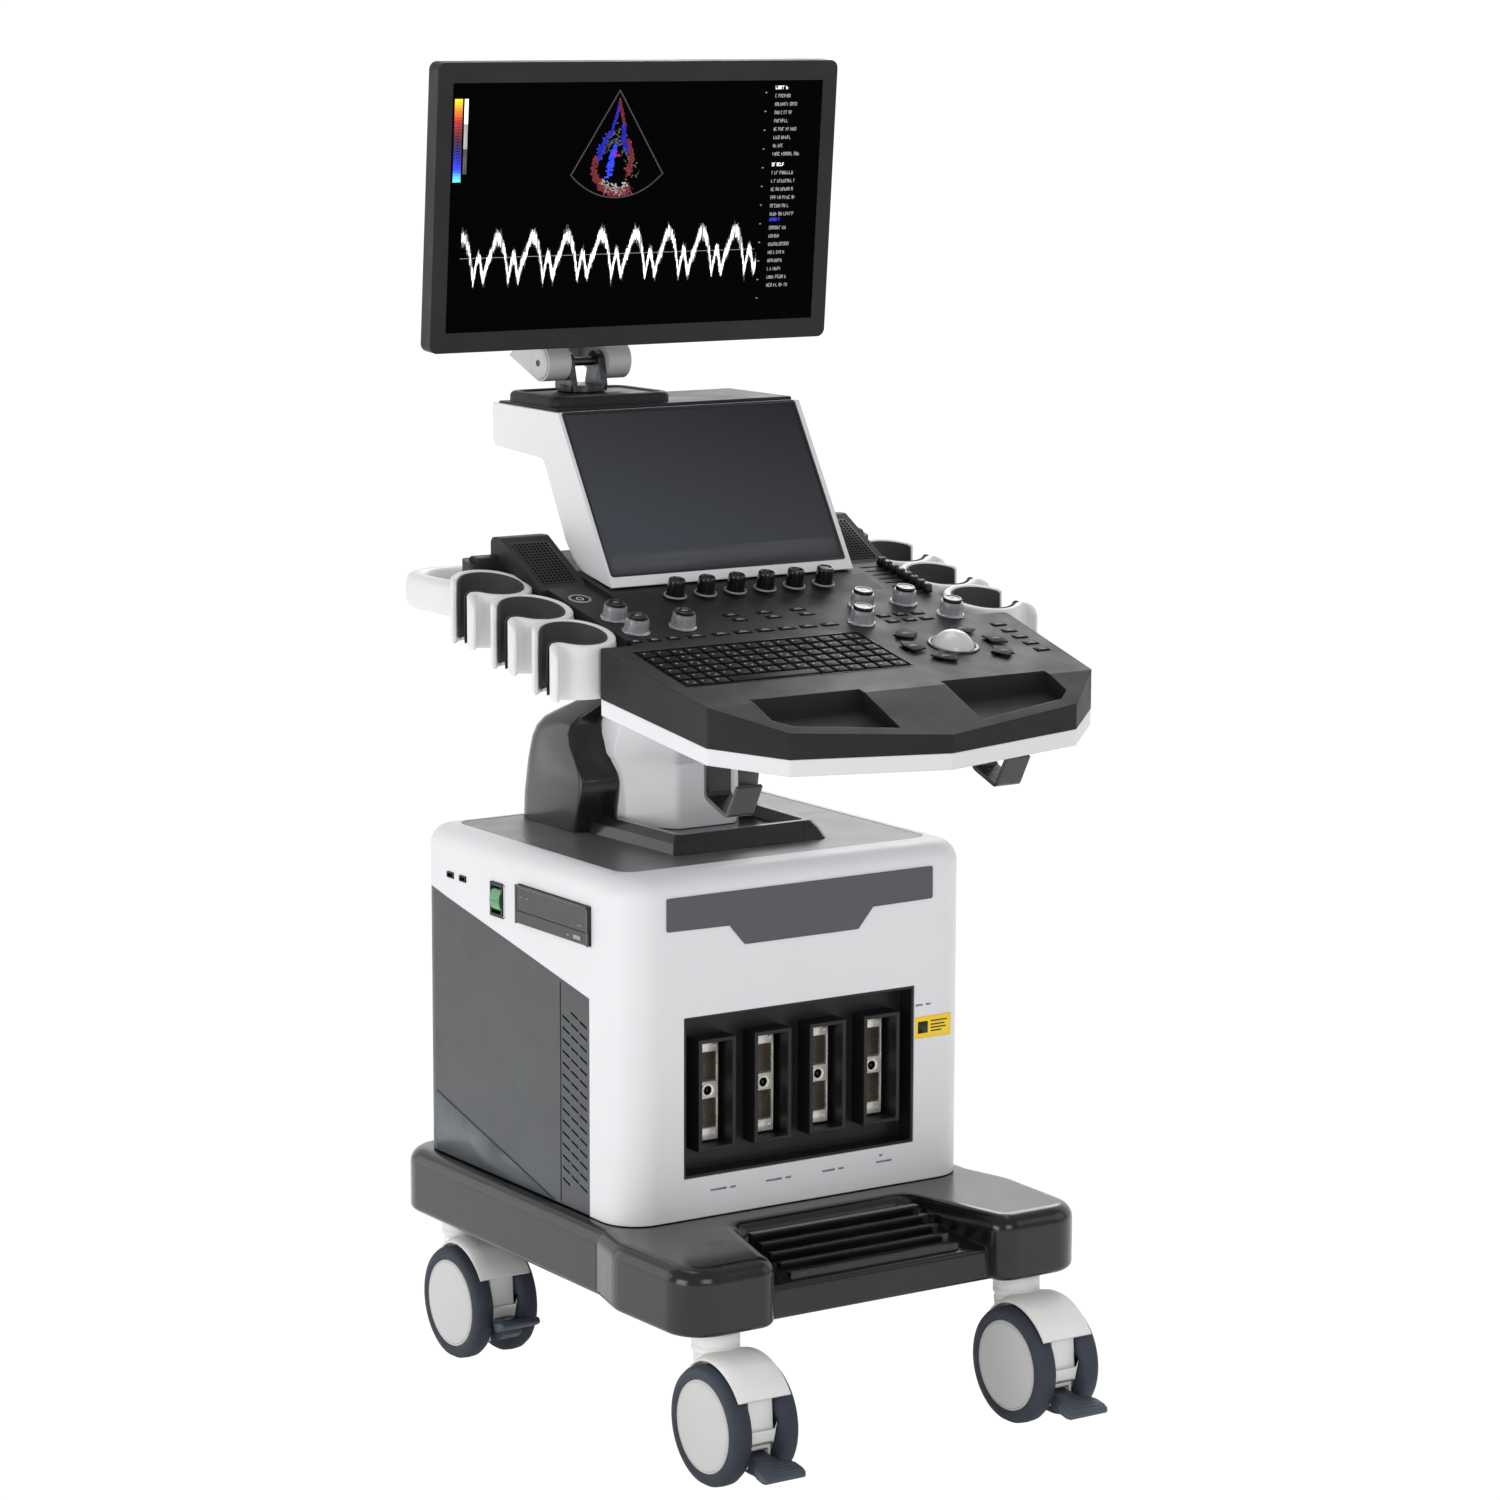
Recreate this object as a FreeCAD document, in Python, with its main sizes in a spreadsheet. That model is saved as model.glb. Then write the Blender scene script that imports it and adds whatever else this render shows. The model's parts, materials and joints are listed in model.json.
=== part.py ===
import math
import os

import FreeCAD
import Part
import Sketcher

# Ultrasound machine on a four-caster cart. Millimetres, +Z up, +X to the operator's right,
# -Y towards the operator. Origin: on the floor, midway between the wheel axles.

os.makedirs("parts", exist_ok=True)
doc = FreeCAD.newDocument("ultrasound_machine")
sheet = doc.addObject("Spreadsheet::Sheet", "dims")
V = FreeCAD.Vector

DIMENSIONS = {
    # casters
    "wheel_radius": 62.5, "axle_reach": 258, "caster_trail": 35, "caster_side": 191,
    "tread_width": 24, "axle_radius": 6, "axle_clearance": 0.05,
    # base moulding
    "base_half": 242, "horn_half": 256, "base_front": -266, "base_back": 357,
    "base_bottom": 155, "base_top": 226, "base_wall": 5,
    # cabinet
    "cab_half": 222, "cab_front": -94, "cab_back": 326, "cab_bottom": 227, "cab_top": 595,
    "wall": 4,
    # probe bay
    "bay_half": 147, "bay_low": 270.6, "bay_high": 443.3, "bay_depth": 25,
    "port_width": 46, "port_height": 120, "port_pitch": 70, "port_centre": 357,
    # console
    "deck_front": -278, "deck_front_top": 802, "deck_slope": 12.68, "tray_drop": 17,
    "holder_radius": 43, "holder_bore": 34, "holder_side": 258, "holder_pitch": 83.3,
    "holder_first": -59, "holder_top": 853, "holder_step": 16.6, "holder_tall": 64,
    # touch screen housing
    "touch_half": 154,
    # monitor and its arm
    "monitor_wide": 501, "monitor_tall": 304, "monitor_deep": 20, "monitor_side": -36,
    "monitor_front": 171, "monitor_height": 1272, "monitor_tilt": 4.7,
    "arm_side": -68, "hub_back": 237, "hub_height": 1101, "hub_radius": 20,
    "elbow_back": 338, "elbow_height": 1138, "head_back": 243, "head_height": 1266,
}

sheet.set("A1", "dimension")
for row, (alias, value) in enumerate(DIMENSIONS.items(), start=2):
    sheet.set("A%d" % row, alias)
    sheet.set("B%d" % row, str(value))
    sheet.setAlias("B%d" % row, alias)
doc.recompute()


def dim(alias):
    """The value of one named cell."""
    return float(sheet.get(alias))


def bind(obj, **formulas):
    """Bind properties to the sheet: a name such as Length, or X, Y, Z for the position."""
    for name, formula in formulas.items():
        path = "Placement.Base." + name.lower() if name in "XYZ" else name
        formula = str(formula)
        for alias in sorted(DIMENSIONS, key=len, reverse=True):
            formula = replace_word(formula, alias)
        obj.setExpression(path, formula)


def replace_word(formula, alias):
    """Put dims. before an alias wherever it stands as a whole word."""
    words, word = [], ""
    for mark in formula + " ":
        if mark.isalnum() or mark in "_.":
            word += mark
            continue
        words.append("dims." + alias if word == alias else word)
        words.append(mark)
        word = ""
    return "".join(words).strip()


def box(label, x, y, z):
    """A box between pairs of formulas along each axis."""
    obj = doc.addObject("Part::Box", label)
    bind(obj, Length="(%s)-(%s)" % (x[1], x[0]), Width="(%s)-(%s)" % (y[1], y[0]),
         Height="(%s)-(%s)" % (z[1], z[0]), X=x[0], Y=y[0], Z=z[0])
    return obj


TURNS = {"x": FreeCAD.Rotation(V(0, 1, 0), 90), "y": FreeCAD.Rotation(V(1, 0, 0), -90),
         "z": FreeCAD.Rotation()}


def rod(label, axis, radius, start, length):
    """A cylinder along axis from the start point (three formulas)."""
    obj = doc.addObject("Part::Cylinder", label)
    obj.Placement = FreeCAD.Placement(V(), TURNS[axis])
    bind(obj, Radius=radius, Height=length, X=start[0], Y=start[1], Z=start[2])
    return obj


def cut(label, base, *tools):
    obj = doc.addObject("Part::Cut", label)
    obj.Base = base
    obj.Tool = tools[0] if len(tools) == 1 else fuse(label + "_tools", *tools)
    return obj


def fuse(label, *shapes):
    obj = doc.addObject("Part::MultiFuse", label)
    obj.Shapes = list(shapes)
    return obj


def group(label, *shapes):
    """Separate solids of one node."""
    obj = doc.addObject("Part::Compound", label)
    obj.Links = list(shapes)
    return obj


def mirrored(label, source):
    """The source and its reflection in the centre plane, as separate solids."""
    twin = doc.addObject("Part::Mirroring", label + "_twin")
    twin.Source = source
    twin.Base = V(0, 0, 0)
    twin.Normal = V(1, 0, 0)
    return group(label, source, twin)


def rounded(label, base, radius, chosen):
    """Round the edges that the function chosen accepts."""
    doc.recompute()
    obj = doc.addObject("Part::Fillet", label)
    obj.Base = base
    edges = enumerate(base.Shape.Edges, start=1)
    obj.Edges = [(number, radius, radius) for number, edge in edges if chosen(edge)]
    return obj


def upright(edge):
    box_ = edge.BoundBox
    return box_.ZLength > 1 and box_.XLength < 0.1 and box_.YLength < 0.1


def level_at(height):
    return lambda edge: abs(edge.BoundBox.ZMin - height) < 0.1 and abs(edge.BoundBox.ZMax - height) < 0.1


PLANES = {"z": "XY_Plane", "x": "YZ_Plane", "y": "XZ_Plane"}


def outline_edges(points):
    """Straight lines through the points; a third number rounds that corner."""
    count = len(points)
    starts, ends, arcs = [], [], []
    for number, point in enumerate(points):
        here = V(point[0], point[1], 0)
        radius = point[2] if len(point) > 2 else 0
        before = V(points[number - 1][0], points[number - 1][1], 0)
        after = V(points[(number + 1) % count][0], points[(number + 1) % count][1], 0)
        if not radius:
            starts.append(here)
            ends.append(here)
            continue
        inward = (before - here).normalize()
        outward = (after - here).normalize()
        half = inward.getAngle(outward) / 2
        reach = radius / math.tan(half)
        middle = (inward + outward).normalize()
        first, last = here + inward * reach, here + outward * reach
        crown = here + middle * (radius / math.sin(half) - radius)
        starts.append(first)
        ends.append(last)
        arcs.append(Part.Arc(first, crown, last))
    lines = []
    for number in range(count):
        first, last = ends[number], starts[(number + 1) % count]
        if first.distanceToPoint(last) > 0.01:
            lines.append(Part.LineSegment(first, last))
    return lines + arcs


def prism(label, axis, points, low, high):
    """A PartDesign pad of an outline, between two formulas along an axis.

    The outline is (y, z) along x, (x, z) along y and (x, y) along z."""
    body = doc.addObject("PartDesign::Body", label)
    sketch = body.newObject("Sketcher::SketchObject", label + "_outline")
    role = PLANES[axis]
    plane = [item for item in body.Origin.OriginFeatures if item.Role == role][0]
    sketch.AttachmentSupport = (plane, "")
    sketch.MapMode = "FlatFace"
    sketch.addGeometry(outline_edges(points), False)
    pad = body.newObject("PartDesign::Pad", label + "_pad")
    pad.Profile = sketch
    bind(pad, Length="(%s)-(%s)" % (high, low))
    if axis == "y":
        pad.Reversed = True
    bind(body, **{axis.upper(): low})
    body.Tip = pad
    return body


def loft(label, *sections):
    """A solid skinned through closed rings of points, each with the same count."""
    wires = [Part.makePolygon([V(*p) for p in ring] + [V(*ring[0])]) for ring in sections]
    obj = doc.addObject("Part::Feature", label)
    obj.Shape = Part.makeLoft(wires, True, True)
    return obj


NODES = []


def node(obj, name):
    obj.Label = name
    NODES.append(obj)
    return obj


def placed(label, source, x, y, z="0"):
    """A copy of source moved by three formulas."""
    obj = doc.addObject("Part::Compound", label)
    obj.Links = [source]
    bind(obj, X=x, Y=y, Z=z)
    return obj


# ---------------------------------------------------------------- casters
# One twin-wheel caster is drawn with its axle at x = 0, y = 0 and copied to the four corners.
# The swivel stem stands caster_trail behind the axle.

def caster_housing():
    """Swivel body: collar round the stem, centre web, hood over the treads and the axle."""
    web = prism("web", "x", [(-44, 22, 5), (-46, 50, 12), (-34, 100, 10), (10, 128, 4), (60, 128, 4),
                             (56, 100, 12), (30, 60, 20), (28, 34, 8), (-30, 22, 5)], "-15", "15")
    collar = rod("collar", "z", "25", ("0", "caster_trail", "124"), "27")
    arch = cut("arch", rod("arch_out", "x", "wheel_radius+8", ("-31", "0", "wheel_radius"), "62"),
               rod("arch_in", "x", "wheel_radius+3", ("-32", "0", "wheel_radius"), "64"))
    window = prism("hood_window", "x", [(-90, 80), (-90, 140), (40, 140), (40, 110), (0, 62)], "-31", "31")
    hood = doc.addObject("Part::Common", "hood")
    hood.Base = arch
    hood.Tool = window
    body = fuse("caster_solid", web, collar, hood)
    bore = rod("stem_bore", "z", "8+axle_clearance", ("0", "caster_trail", "120"), "40")
    slot = box("pedal_slot", ("-12.2", "12.2"), ("-50", "-27"), ("15", "50"))
    hole = rod("axle_hole", "x", "axle_radius", ("-20", "0", "wheel_radius"), "40")
    shell = cut("caster_shell", body, bore, slot, hole)
    axle = rod("axle", "x", "axle_radius", ("-38", "0", "wheel_radius"), "76")
    pin = rod("pedal_pin", "x", "3", ("-12.2", "-37", "32"), "24.4")
    return group("caster_housing", shell, axle, pin)


def caster_wheels():
    """The two wheel discs with their bores, and the treads pressed over them."""
    disc = cut("disc", rod("disc_out", "x", "48.5", ("16", "0", "wheel_radius"), "24"),
               rod("disc_bore", "x", "axle_radius+axle_clearance", ("15", "0", "wheel_radius"), "23.2"))
    outer = rounded("tyre_round", rod("tyre_out", "x", "wheel_radius", ("16", "0", "wheel_radius"),
                                      "tread_width"), 5, lambda e: e.BoundBox.ZLength > 100)
    ring = cut("tyre", outer, rod("tyre_in", "x", "48.5", ("15", "0", "wheel_radius"), "26"))
    return mirrored("caster_wheels", group("wheel", disc, ring))


def caster_pedal():
    """Brake pedal with its hub on the pedal pin, at the pressed position."""
    hub = rod("pedal_hub", "x", "7", ("-12", "-37", "32"), "24")
    arm = prism("pedal_arm", "x", [(-37, 25), (-37, 39), (-66, 36), (-72, 24), (-60, 20)], "-12", "12")
    pad = prism("pedal_pad", "x", [(-66, 30), (-66, 37, 2), (-95, 31, 3), (-95, 24, 3), (-70, 28)],
                "-25", "25")
    bore = rod("pedal_bore", "x", "3+axle_clearance", ("-13", "-37", "32"), "26")
    return cut("caster_pedal", fuse("pedal_solid", hub, arm, pad), bore)


housing, wheels, pedal = caster_housing(), caster_wheels(), caster_pedal()
raised_pedal = group("raised_pedal", pedal)
raised_pedal.Placement = FreeCAD.Placement(V(), FreeCAD.Rotation(V(1, 0, 0), -28), V(0, -37, 32))
CORNERS = {"front_left": ("-caster_side", "-axle_reach"), "front_right": ("caster_side", "-axle_reach"),
           "rear_left": ("-caster_side", "axle_reach"), "rear_right": ("caster_side", "axle_reach")}
for corner, (side, reach) in CORNERS.items():
    lever = pedal if "front" in corner else raised_pedal
    for piece, source in (("housing", housing), ("wheels", wheels), ("pedal", lever)):
        name = "caster_%s_%s" % (corner, piece)
        node(placed(name, source, side, reach), name)


# ---------------------------------------------------------------- base
def base_outline(inset, notch=()):
    """Plan of the base, widening to two horns in front; notch adds the corners of the step between them."""
    rear, horn = dim("base_half") - inset, dim("horn_half") - inset
    front, back = dim("base_front") + inset, dim("base_back") - inset
    right = [(rear, back, 45), (rear, -75), (horn, -130, 60), (horn - 4, front, 42), *notch]
    return right + [(-x, y, *r) for x, y, *r in reversed(right)]


STEP_NOTCH = [(143, dim("base_front"), 24), (106, -136, 14)]
block = prism("base_block", "z", base_outline(0, STEP_NOTCH), "base_bottom", "base_top")
block = rounded("base_rounded", block, 17, level_at(dim("base_top")))
block = rounded("base_eased", block, 7, level_at(dim("base_bottom")))
step = prism("step_wedge", "x", [(-120, 155.5), (-120, 218), (-137, 213), (-243, 189, 6), (-247, 155.5, 4)],
             "-150", "150")
ribs = [box("rib%d" % n, ("-106", "106"), (str(y), str(y + 8)), (str(z), str(z + 12)))
        for n, (y, z) in enumerate([(-234, 186), (-216, 192), (-198, 198), (-180, 204), (-162, 210)])]
hollow = prism("base_recess", "z", base_outline(9), "base_bottom-5", "base_bottom+22")
step_wall = box("step_front_wall", ("-150", "150"), ("-300", "-239"), ("100", "200"))
hollow = cut("base_hollow_cut", hollow, step_wall)
core = prism("base_core", "z", [(200, 320), (200, -125), (-200, -125), (-200, 320)],
             "base_bottom-5", "base_top-base_wall")
cover = fuse("base_ribbed", block, step, *ribs)
cover = cut("base_cover", cover, hollow, core)
node(cover, "base_cover")

rails = [box("rail%d" % n, (x0, x1), (y0, y1), ("157", "175")) for n, (x0, x1, y0, y1) in enumerate([
    ("-caster_side-20", "-caster_side+20", "-250", "330"),
    ("caster_side-20", "caster_side+20", "-250", "330"),
    ("-caster_side+20", "caster_side-20", "-236", "-206"),
    ("-caster_side+20", "caster_side-20", "275", "310")])]
frame = fuse("frame_rails", *rails)
stems = [rod("stem" + corner, "z", "8", (side, reach + "+caster_trail", "130"), "27")
         for corner, (side, reach) in CORNERS.items()]
node(group("chassis_frame", frame, *stems), "chassis_frame")


# ---------------------------------------------------------------- cabinet
def cabinet_outline(inset):
    half, front, back = dim("cab_half") - inset, dim("cab_front") + inset, dim("cab_back") - inset
    return [(half, front, 42 - inset), (half, back, 26 - inset), (-half, back, 26 - inset),
            (-half, front, 42 - inset)]


SIDE_EDGE = [(-28, 461), (126, 491), (272, 519), (324, 530)]  # underside of the white band, (y, z)

hull = prism("cab_block", "z", cabinet_outline(0), "cab_bottom", "cab_top")
hull = rounded("cab_rounded", hull, 24, level_at(dim("cab_top")))
room = prism("cab_room", "z", cabinet_outline(4), "cab_bottom-1", "cab_top-wall-4")
room = rounded("cab_room_rounded", room, 20, level_at(dim("cab_top") - dim("wall") - 4))
below_band = [(-28, 200)] + SIDE_EDGE + [(400, 545), (400, 200)]
sides = prism("side_opening", "x", below_band, "-300", "300")
roof = prism("roof_opening", "z", [(195, -52, 20), (195, 300, 20), (-195, 300, 20), (-195, -52, 20)],
             "cab_top-20", "cab_top+1")
bay = box("bay_opening", ("-bay_half", "bay_half"), ("cab_front-5", "cab_front+10"), ("bay_low", "bay_high"))
drive_hole = box("drive_hole", ("-230", "-210"), ("-32.5", "117"), ("516.5", "559.5"))
switch_hole = box("switch_hole", ("-230", "-210"), ("147", "174"), ("515", "553"))
usb_holes = [box("usb_hole%d" % n, ("-230", "-210"), (str(y), str(y + 14)), ("541", "548"))
             for n, y in enumerate((228, 255))]
node(cut("cabinet_shell", hull, room, sides, roof, bay, drive_hole, switch_hole, *usb_holes), "cabinet_shell")

panel_room = prism("panel_room", "z", cabinet_outline(4.0), "cab_bottom-1", "cab_top")
panel_block = prism("panel_block", "z", cabinet_outline(0.6), "cab_bottom+0.5", "cab_top-30")
panel_skin = cut("panel_skin", panel_block, panel_room)
panel_area = prism("panel_area", "x", [(-27.6, 220)] + [(y, z - 0.5) for y, z in SIDE_EDGE]
                   + [(400, 544), (400, 220)], "-300", "300")
panels = doc.addObject("Part::Common", "panel_cut")
panels.Base = panel_skin
panels.Tool = panel_area
middle = box("panel_middle", ("-195", "195"), ("250", "400"), ("200", "600"))
slots = []
SLOT_PITCH, SLOT_LONG, SLOT_RISE, SLOT_TALL = 12.6, 14.6, 5.0, 2.6
for column in range(3):
    for level in range(15):
        y = -22 + column * 17.4
        z = 250 + (level + 0.5 * (column % 2)) * SLOT_PITCH
        slots.append(prism("vent%d_%d" % (column, level), "x",
                           [(y, z), (y + SLOT_LONG, z + SLOT_RISE), (y + SLOT_LONG, z + SLOT_RISE + SLOT_TALL),
                            (y, z + SLOT_TALL)], "-230", "230"))
node(cut("side_panels", panels, middle, *slots), "side_panels")
rear = cut("rear_plate", box("rear_block", ("-194.5", "194.5"), ("cab_back-4.6", "cab_back-0.6"),
                             ("cab_bottom+0.5", "529")),
           *[box("rear_vent%d" % n, ("-120", "120"), ("cab_back-10", "cab_back+5"), (str(z), str(z + 4)))
             for n, z in enumerate(range(400, 500, 10))])
node(rear, "rear_panel")
node(prism("top_panel", "z", [(194.6, -51.6, 19.6), (194.6, 299.6, 19.6), (-194.6, 299.6, 19.6),
                              (-194.6, -51.6, 19.6)], "cab_top-4", "cab_top-0.4"), "top_panel")
BADGE_HALF, BADGE_TOP, BADGE_STEP, BADGE_LOW = 168.7, 572, 537, 514
badge_right = [(BADGE_HALF, BADGE_TOP, 2), (BADGE_HALF, BADGE_STEP, 2), (91, BADGE_STEP - 1),
               (72, BADGE_LOW, 3)]
badge_line = badge_right + [(-x, *rest) for x, *rest in reversed(badge_right)]
badge = prism("badge_plate", "y", badge_line, "cab_front-1.6", "cab_front")
node(badge, "badge_plate")

# probe bay: a shallow tub behind the opening with four open frames standing on its floor
tub = cut("bay_tub", box("bay_out", ("-bay_half+0.4", "bay_half-0.4"),
                         ("cab_front+1", "cab_front+bay_depth+3"), ("bay_low+0.4", "bay_high-0.4")),
          box("bay_in", ("-bay_half+3", "bay_half-3"), ("cab_front-1", "cab_front+bay_depth"),
              ("bay_low+3", "bay_high-3")))
frames, sockets = [], []
for index in range(4):
    centre = "port_pitch*%s" % (index - 1.5)
    low, high = "port_centre-port_height/2", "port_centre+port_height/2"
    outer = box("port_out%d" % index, (centre + "-port_width/2", centre + "+port_width/2"),
                ("cab_front+0.5", "cab_front+bay_depth+1"), (low, high))
    inner = box("port_in%d" % index, (centre + "-port_width/2+4", centre + "+port_width/2-4"),
                ("cab_front-1", "cab_front+bay_depth+5"), (low + "+4", high + "-4"))
    frames.append((outer, inner))
    plate = box("socket_plate%d" % index, (centre + "-14", centre + "+14"),
                ("cab_front+bay_depth-4", "cab_front+bay_depth+30"), (low + "+5", high + "-5"))
    boss = rod("socket_boss%d" % index, "y", "9", (centre, "cab_front+bay_depth-9", "port_centre"), "8")
    hole = rod("socket_hole%d" % index, "y", "5.5", (centre, "cab_front+bay_depth-12", "port_centre"), "20")
    sockets.append(cut("socket%d" % index, fuse("socket_solid%d" % index, plate, boss), hole))
bay_solid = fuse("bay_solid", tub, *[outer for outer, inner in frames])
node(cut("probe_bay", bay_solid, *[inner for outer, inner in frames]), "probe_bay")
node(group("probe_sockets", *sockets), "probe_sockets")

# optical drive, power switch and USB ports in the left side band
tray = box("drive_tray", ("-226.5", "-84"), ("-31", "115.6"), ("518", "531"))
node(tray, "drive_tray")
drive = fuse("drive_solid", box("drive_bezel", ("-226.2", "-222.2"), ("-31.9", "116.4"), ("531.6", "558.8")),
             box("drive_case", ("-222.2", "-60"), ("-31.9", "116.4"), ("516.9", "558.8")))
node(cut("optical_drive", drive, box("tray_way", ("-240", "-70"), ("-31.4", "116"), ("517.6", "531.4"))),
     "optical_drive")
bezel = cut("switch_bezel", box("bezel_out", ("-224", "-214"), ("147.4", "173.6"), ("515.4", "552.6")),
            box("bezel_in", ("-230", "-210"), ("150", "171"), ("519", "549")))
rocker = rod("rocker_round", "y", "18", ("-208.5", "150.6", "534"), "19.8")
rocker_trim = box("rocker_trim", ("-228", "-213"), ("150", "171"), ("522", "546"))
rocker_cut = doc.addObject("Part::Common", "power_rocker")
rocker_cut.Base = rocker
rocker_cut.Tool = rocker_trim
node(rocker_cut, "power_rocker")
usb = []
for number, y in enumerate((228, 255)):
    sleeve = box("usb_out%d" % number, ("-223.5", "-205"), (str(y + 0.4), str(y + 13.6)), ("541.4", "547.6"))
    way = box("usb_in%d" % number, ("-230", "-212"), (str(y + 1.5), str(y + 12.5)), ("542.6", "546.4"))
    usb.append(cut("usb%d" % number, sleeve, way))
node(group("side_sockets", bezel, *usb), "side_sockets")

# inside the cabinet
cage = fuse("card_cage", box("cage_box", ("-150", "150"), ("-30", "200"), ("250", "480")),
            box("cage_foot", ("-160", "160"), ("-30", "200"), ("227.2", "250")))
supply = box("power_supply", ("-150", "150"), ("215", "305"), ("227.2", "380"))
node(group("electronics", cage, supply), "electronics")

# ---------------------------------------------------------------- pedestal
def seam(y):
    """Height of the seam between the black deck and the white tray under it."""
    return 752.6 + 0.17 * (y + 330)


def tray_floor(y):
    return seam(y) - dim("tray_drop")


FOOT_LOW, FOOT_TOP = dim("cab_top") - 0.4, 614


def foot_ring(half, front, corner, z, back=166):
    """Plan of the foot at one height: its front corners cut off, its back square."""
    right = [(half + 6, back), (half, front + corner), (half - corner, front)]
    return [(x, y, z) for x, y in right] + [(-x, y, z) for x, y in reversed(right)]


foot = loft("foot_skirt", foot_ring(98, -1, 5, FOOT_LOW), foot_ring(93, 6, 5, FOOT_LOW + 11),
            foot_ring(87, 13, 5, FOOT_TOP))
foot_dish = loft("foot_dish", foot_ring(73, 32, 4, 603, 175), foot_ring(80, 20, 4, FOOT_TOP, 175),
                 foot_ring(84, 16, 4, 640, 175))
foot = cut("foot_dished", foot, foot_dish)
column_plan = [(37, 90, 10), (73, 138, 8), (73, 215, 20), (-73, 215, 20), (-73, 138, 8), (-37, 90, 10)]
node(foot, "pedestal_foot")
column = prism("column_post", "z", column_plan, "603", "840")
neck = loft("column_neck", [(-37, 90, 676), (37, 90, 676), (73, 138, 676), (-73, 138, 676)],
            [(-70, 10, 764), (70, 10, 764), (80, 138, 764), (-80, 138, 764)],
            [(-70, 10, tray_floor(10)), (70, 10, tray_floor(10)), (80, 138, tray_floor(138)),
             (-80, 138, tray_floor(138))])
tray_line = [(-60, tray_floor(-60)), (300, tray_floor(300)), (300, 1000), (-60, 1000)]
above_tray = prism("above_tray", "x", tray_line, "-120", "120")
node(cut("pedestal_column", fuse("column_solid", column, neck), above_tray), "pedestal_column")
fairing_line = [(171, 594.7), (159, 653, 20), (186, 683, 30), (214, 712, 10), (150, 740, 10), (150, 770),
                (190, 770, 10), (255, 702, 40), (274, 680, 30), (287, 594.7)]
fairing = prism("fairing_side", "x", fairing_line, "-109", "109")
fairing = rounded("fairing_rounded", fairing, 6,
                  lambda e: e.BoundBox.XLength < 0.1 and e.BoundBox.YLength > 5)
node(cut("pedestal_fairing", fairing, box("fairing_gap", ("-74", "74"), ("100", "216"), ("590", "800"))),
     "pedestal_fairing")


# ---------------------------------------------------------------- console
SLOPE = math.radians(dim("deck_slope"))


def deck_height(y):
    return dim("deck_front_top") + math.tan(SLOPE) * (y - dim("deck_front"))


def on_deck(obj, x=0.0, up=0.0, out=0.0):
    """Stand an object on the sloping deck: x across, up the slope from its front fold, out of it."""
    y = dim("deck_front") + up * math.cos(SLOPE) - out * math.sin(SLOPE)
    z = dim("deck_front_top") + up * math.sin(SLOPE) + out * math.cos(SLOPE)
    obj.Placement = FreeCAD.Placement(V(x, y, z), FreeCAD.Rotation(V(1, 0, 0), dim("deck_slope")))
    return obj


def console_outline(inset):
    right = [(176.5 - inset, -332 + inset, 4), (238 - inset, -277 + inset * 0.5, 4),
             (256 - inset, -104 - inset, 5), (213.5 - inset, -104 - inset), (213.5 - inset, 150 + inset),
             (256 - inset, 150 + inset, 6), (256 - inset, 176 - inset, 6)]
    bow = [(0, -361 + inset)]
    return bow + right + [(-point[0], *point[1:]) for point in reversed(right)]


def slab(label, inset, profile):
    """The console's plan cut to a side profile."""
    obj = doc.addObject("Part::Common", label)
    obj.Base = prism(label + "_plan", "z", console_outline(inset), "700", "1000")
    obj.Tool = prism(label + "_side", "x", profile, "-300", "300")
    return obj


deck_top = [(180, deck_height(180)), (-278, deck_height(-278)), (-370, 762)]
deck = slab("deck_slab", 0, [(-370, seam(-370)), (180, seam(180))] + deck_top)
inner_top = [(185, deck_height(185) - 8), (-276, deck_height(-276) - 8), (-375, 750)]
deck_room = slab("deck_room", 5, [(-375, seam(-375) - 1), (185, seam(185) - 1)] + inner_top)
palm_profile = [(-266, 860), (-270, 783), (-338, 762), (-349, 772), (-349, 860)]
palm_cut = prism("palm_cut", "x", palm_profile, "50", "182")
wall_profile = [(-260, 860), (-262, 776), (-340, 754), (-360, 760), (-360, 860)]
palm_wall = prism("palm_wall", "x", wall_profile, "46", "186")
deck_room = cut("deck_hollow", deck_room, mirrored("palm_walls", palm_wall))

KEY_PITCH = 18.05
ROW_PITCH = 16.5


def keycap(name, x, up, wide, tall, grow=0.0, low=-3.0, high=1.1):
    """A key in the deck's own frame."""
    return box(name, (str(x - wide / 2 - grow), str(x + wide / 2 + grow)),
               (str(up - tall / 2 - grow), str(up + tall / 2 + grow)), (str(low), str(high)))


keyboard = []
for line in range(6):
    middle_up = 66 + line * ROW_PITCH
    if line == 0:
        spans = [(0, 1), (1, 2), (2, 3), (3, 9), (9, 10), (10, 11), (11, 12), (12, 13), (13, 14), (14, 15)]
    else:
        spans = [(n, n + 1) for n in range(15)]
    for first, last in spans:
        centre = -224.5 + (first + last) / 2 * KEY_PITCH
        keyboard.append(keycap("key_%d_%d" % (line, first), centre, middle_up,
                               (last - first) * KEY_PITCH - 2.2, ROW_PITCH - 2.4))
keyboard_well = box("keyboard_well", ("-227", "49"), ("56.5", "160"), ("-5.6", "20"))

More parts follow.
